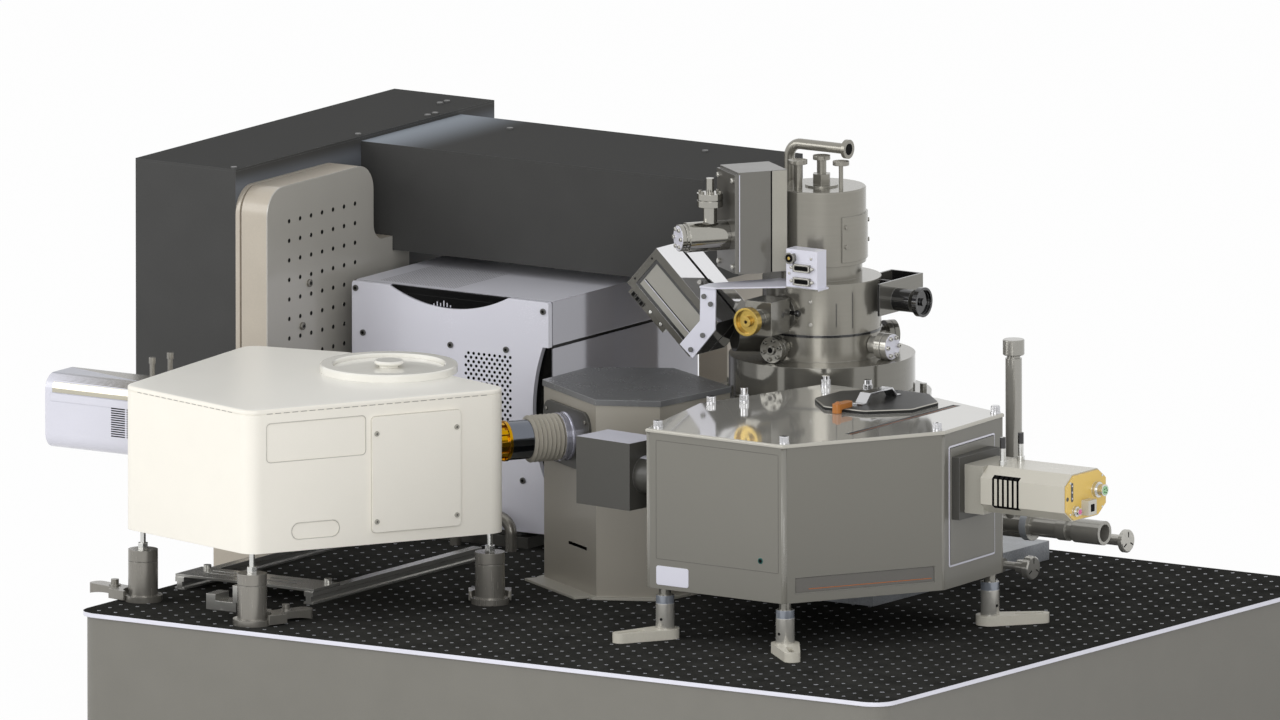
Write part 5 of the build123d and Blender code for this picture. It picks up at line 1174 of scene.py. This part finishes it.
bore("front_port_boss_bore", 3.6, 2.5, 2.75, 16, front_port, TOWARDS)
right_port = COLUMN + np.array([106, 0, PORT_Z])
port_disc = lathe((16.2, -0.3), (16.2, 0.6), (15.6, 0.9), sides=32)
attach("right_port_blank", port_disc, right_port, RIGHTWARD, electropolished)
bolt_ring("right_port_bolts", right_port + [0.9, 0, 0], np.array([1.0, 0, 0]), 12.4, 6, satin_stainless,
          2.8, 3.2)

# %% [markdown]
# ## Fittings on the gun, the column and the valve
#
# What is left are single parts: the vent pipe's open mouth, small screws and two
# access slots on the lens, and the valve's set screw, clamp and hub.

# %% Column fittings
vent_mouth = COLUMN + np.array([27.6, 21, 540])
bore("vent_mouth", 7.2, -0.6, 0.05, 24, vent_mouth, RIGHTWARD)
LENS_RADIUS = 74.6
lens_way = level(-67.5)
lens_spots = [COLUMN + LENS_RADIUS * lens_way + [0, 0, z] for z in (329, 358.5)]
lens_screw = lathe((2.6, 0), (2.6, 1.6), (2.0, 2.1), sides=16)
attach("lens_screws", lens_screw, lens_spots, facing(lens_way), satin_stainless)
for number, (degrees, tall, low) in enumerate(((-42.5, 30, 341), (-25.5, 46, 346))):
    way = level(degrees)
    spot = COLUMN + (LENS_RADIUS + 0.2) * way + [0, 0, low]
    attach(f"lens_slot_{number}", slab(1.3, tall, 0.5, 0.5, 0.1), spot, facing(way), slate_plate)
set_screw_spot = COLUMN + np.array([11.5, -106, 345.5])
attach("valve_set_screw", lathe((3.4, -0.2), (3.4, 0.4), (2.6, 0.6)), set_screw_spot, RIGHTWARD, slate_plate)
clamp_knob = lathe((2.4, 0), (2.4, 9), (4.2, 9), (4.2, 13), (3.4, 14), sides=16)
attach("valve_clamp", clamp_knob, COLUMN + np.array([8.0, -84, 345]), RIGHTWARD, black_resin)
hub_spot = COLUMN + np.array([-8, -161.8, 343])
bore("brass_hub_bore", 1.7, 0, 0.25, 16, hub_spot, TOWARDS, body="valve_wheel")

# %% [markdown]
# ## Knobs of the sample rod and the stage
#
# Each knob's face has three slots for a pin wrench, a third of a turn apart. They
# belong to the moving knobs, so they ride on those bodies and not on the bench.

# %% Pin-wrench slots
third = np.radians((90, 210, 330))
slot_axes = np.stack([
    np.array([(0, math.cos(t), math.sin(t)), (0, -math.sin(t), math.cos(t)), (1, 0, 0)]) for t in third])


def wrench_slots(name, face, radius, body):
    """Three radial slots at a radius from the middle of a knob's face."""
    spots = np.array(face) + radius * slot_axes[:, 0]
    attach(name, slab(7, 1.6, 0.25, 0.5, 0.05), spots, slot_axes, deep_black, body=body)


wrench_slots("rod_knob_slots", COLUMN + np.array([429.5, 50, 73.5]), 8.5, "sample_rod")
wrench_slots("stage_knob_slots", COLUMN + np.array([319.5, 0, 36]), 9, "stage_wheel")
COLLAR_CIRCLE = 12.2
collar_spots = [COLUMN + [374.5, 0, 91] + COLLAR_CIRCLE * np.array([0, math.cos(t), math.sin(t)])
                for t in np.radians((-100, -60, -20))]
collar_screw = lathe((2.0, 0), (2.0, 2.2), (1.5, 2.6), sides=12)
attach("tube_collar_screws", collar_screw, collar_spots, RIGHTWARD, satin_stainless)

# %% [markdown]
# ## The coupling's ribs and the tower's trim
#
# The gold collar has ribs round its waist, so the same bar is turned about the
# beam's axis in equal steps. The tower's port plate has four screws.

# %% Collar ribs and port screws
TOWER_WALL = (np.array([-241.0, -3.0]), np.array([-107.0, -86.4]))
tower_axes = wall_of(*TOWER_WALL)[2]
BEAM_S, BEAM_Z = 75, 195.5
collar_middle = on_wall(*TOWER_WALL, BEAM_S, BEAM_Z, 98)
rib_turn = np.linspace(0, 2 * np.pi, 10, endpoint=False)
rib_out = np.outer(np.cos(rib_turn), tower_axes[0]) + np.outer(np.sin(rib_turn), tower_axes[1])
rib_axes = np.stack([
    np.broadcast_to(tower_axes[2], rib_out.shape), np.cross(rib_out, tower_axes[2]), rib_out], 1)
attach("collar_ribs", slab(11.6, 6.5, 2.6, 0.8, 0.4), collar_middle + 22.2 * rib_out, rib_axes, gold_plate)
ring_shape = lathe((31, 0), (31, 2.5), (29.6, 3), (29.6, 8), (30.4, 8.4), (30.4, 11.6), sides=48)
ring_spot = on_wall(*TOWER_WALL, BEAM_S, BEAM_Z, 4)
attach("coupling_ring_trim", ring_shape, ring_spot, tower_axes, pale_ring)
port_screws = [on_wall(*TOWER_WALL, BEAM_S + ds, BEAM_Z + dz, 4) for ds in (-58, 58) for dz in (-26, 26)]
port_screw = lathe((2.6, 0), (2.6, 1.2), (2.0, 1.6), sides=16)
attach("port_plate_screws", port_screw, port_screws, tower_axes, dark_nickel)

# %% [markdown]
# ## The floor, the lamps and the white surround
#
# The photograph was lit softly, most of it from the front left, against plain
# white. The white is a matter of what the camera and the reflections see, and not
# of how much light falls on the object, so the floor and the sky answer those rays
# with white and all others with an ordinary level.

# %% Floor and sky
SKY_LEVEL = 0.68
FLOOR_WHITE_SHARE = 0.96


def seen_directly(owner, share=1.0):
    """A socket that is share for rays from the camera, a reflection or a pane, and 0 for the rest."""
    path = add_node(owner, "ShaderNodeLightPath")
    seen = path.outputs["Is Camera Ray"]
    for other in ("Is Glossy Ray", "Is Transmission Ray"):
        seen = add_node(
            owner, "ShaderNodeMath", {0: seen, 1: path.outputs[other]}, operation="MAXIMUM").outputs[0]
    return add_node(owner, "ShaderNodeMath", {0: seen, 1: share}, operation="MULTIPLY").outputs[0]


FLOOR_HALF = 30.0
floor_corners = [(x * FLOOR_HALF, y * FLOOR_HALF, 0) for x, y in ((-1, -1), (1, -1), (1, 1), (-1, 1))]
floor_mesh = bpy.data.meshes.new("floor")
floor_mesh.from_pydata(floor_corners, [], [(0, 1, 2, 3)])
floor = bpy.data.objects.new("floor", floor_mesh)
bpy.context.scene.collection.objects.link(floor)
pale_floor = bpy.data.materials.new("pale_floor")
pale_floor.use_nodes = True
pale_floor.node_tree.nodes.clear()
matt = add_node(pale_floor, "ShaderNodeBsdfDiffuse", {"Color": (*linear("#ffffff"), 1)})
glow = add_node(pale_floor, "ShaderNodeEmission", {"Color": (1, 1, 1, 1), "Strength": 1.0})
floor_mix = add_node(pale_floor, "ShaderNodeMixShader", {
    0: seen_directly(pale_floor, FLOOR_WHITE_SHARE), 1: matt.outputs[0], 2: glow.outputs[0]})
add_node(pale_floor, "ShaderNodeOutputMaterial", {"Surface": floor_mix.outputs[0]})
floor_mesh.materials.append(pale_floor)

world = bpy.data.worlds.new("white_studio")
bpy.context.scene.world = world
world.use_nodes = True
world.node_tree.nodes.clear()
level = add_node(world, "ShaderNodeMix", {
    "Factor": seen_directly(world), "A": (SKY_LEVEL, SKY_LEVEL, SKY_LEVEL * 1.01, 1), "B": (1, 1, 1, 1)},
    data_type="RGBA")
sky = add_node(world, "ShaderNodeBackground", {"Color": level.outputs["Result"], "Strength": 1.0})
add_node(world, "ShaderNodeOutputWorld", {"Surface": sky.outputs[0]})
bpy.context.scene.view_settings.view_transform = "Standard"
print("the sky lights the object at", SKY_LEVEL, "of white")

# %% [markdown]
# ## Two large lamps
#
# A large soft lamp at the front left gives the white housing its bright left wall
# and its greyer right one. A second one at the front right, as strong and a little
# lower, lifts the walls that look that way. Both stand low, so that the tops stay
# quieter than the walls.

# %% Lamps
AIM = np.array([0.0, 0.0, 0.35])


def softbox(name, size, watts, where):
    """A square area lamp that shines at the middle of the bench."""
    data = bpy.data.lights.new(name, "AREA")
    data.size, data.energy = size, watts
    made = bpy.data.objects.new(name, data)
    bpy.context.scene.collection.objects.link(made)
    made.location = where
    made.rotation_euler = Vector(np.array(where) - AIM).to_track_quat("Z", "Y").to_euler()
    print(name, "is a square of", size, "m and shines with", watts, "W")


softbox("front_left_softbox", 2.2, 46, (-2.9, -3.2, 2.0))
softbox("front_right_softbox", 2.2, 46, (2.3, -3.7, 1.5))
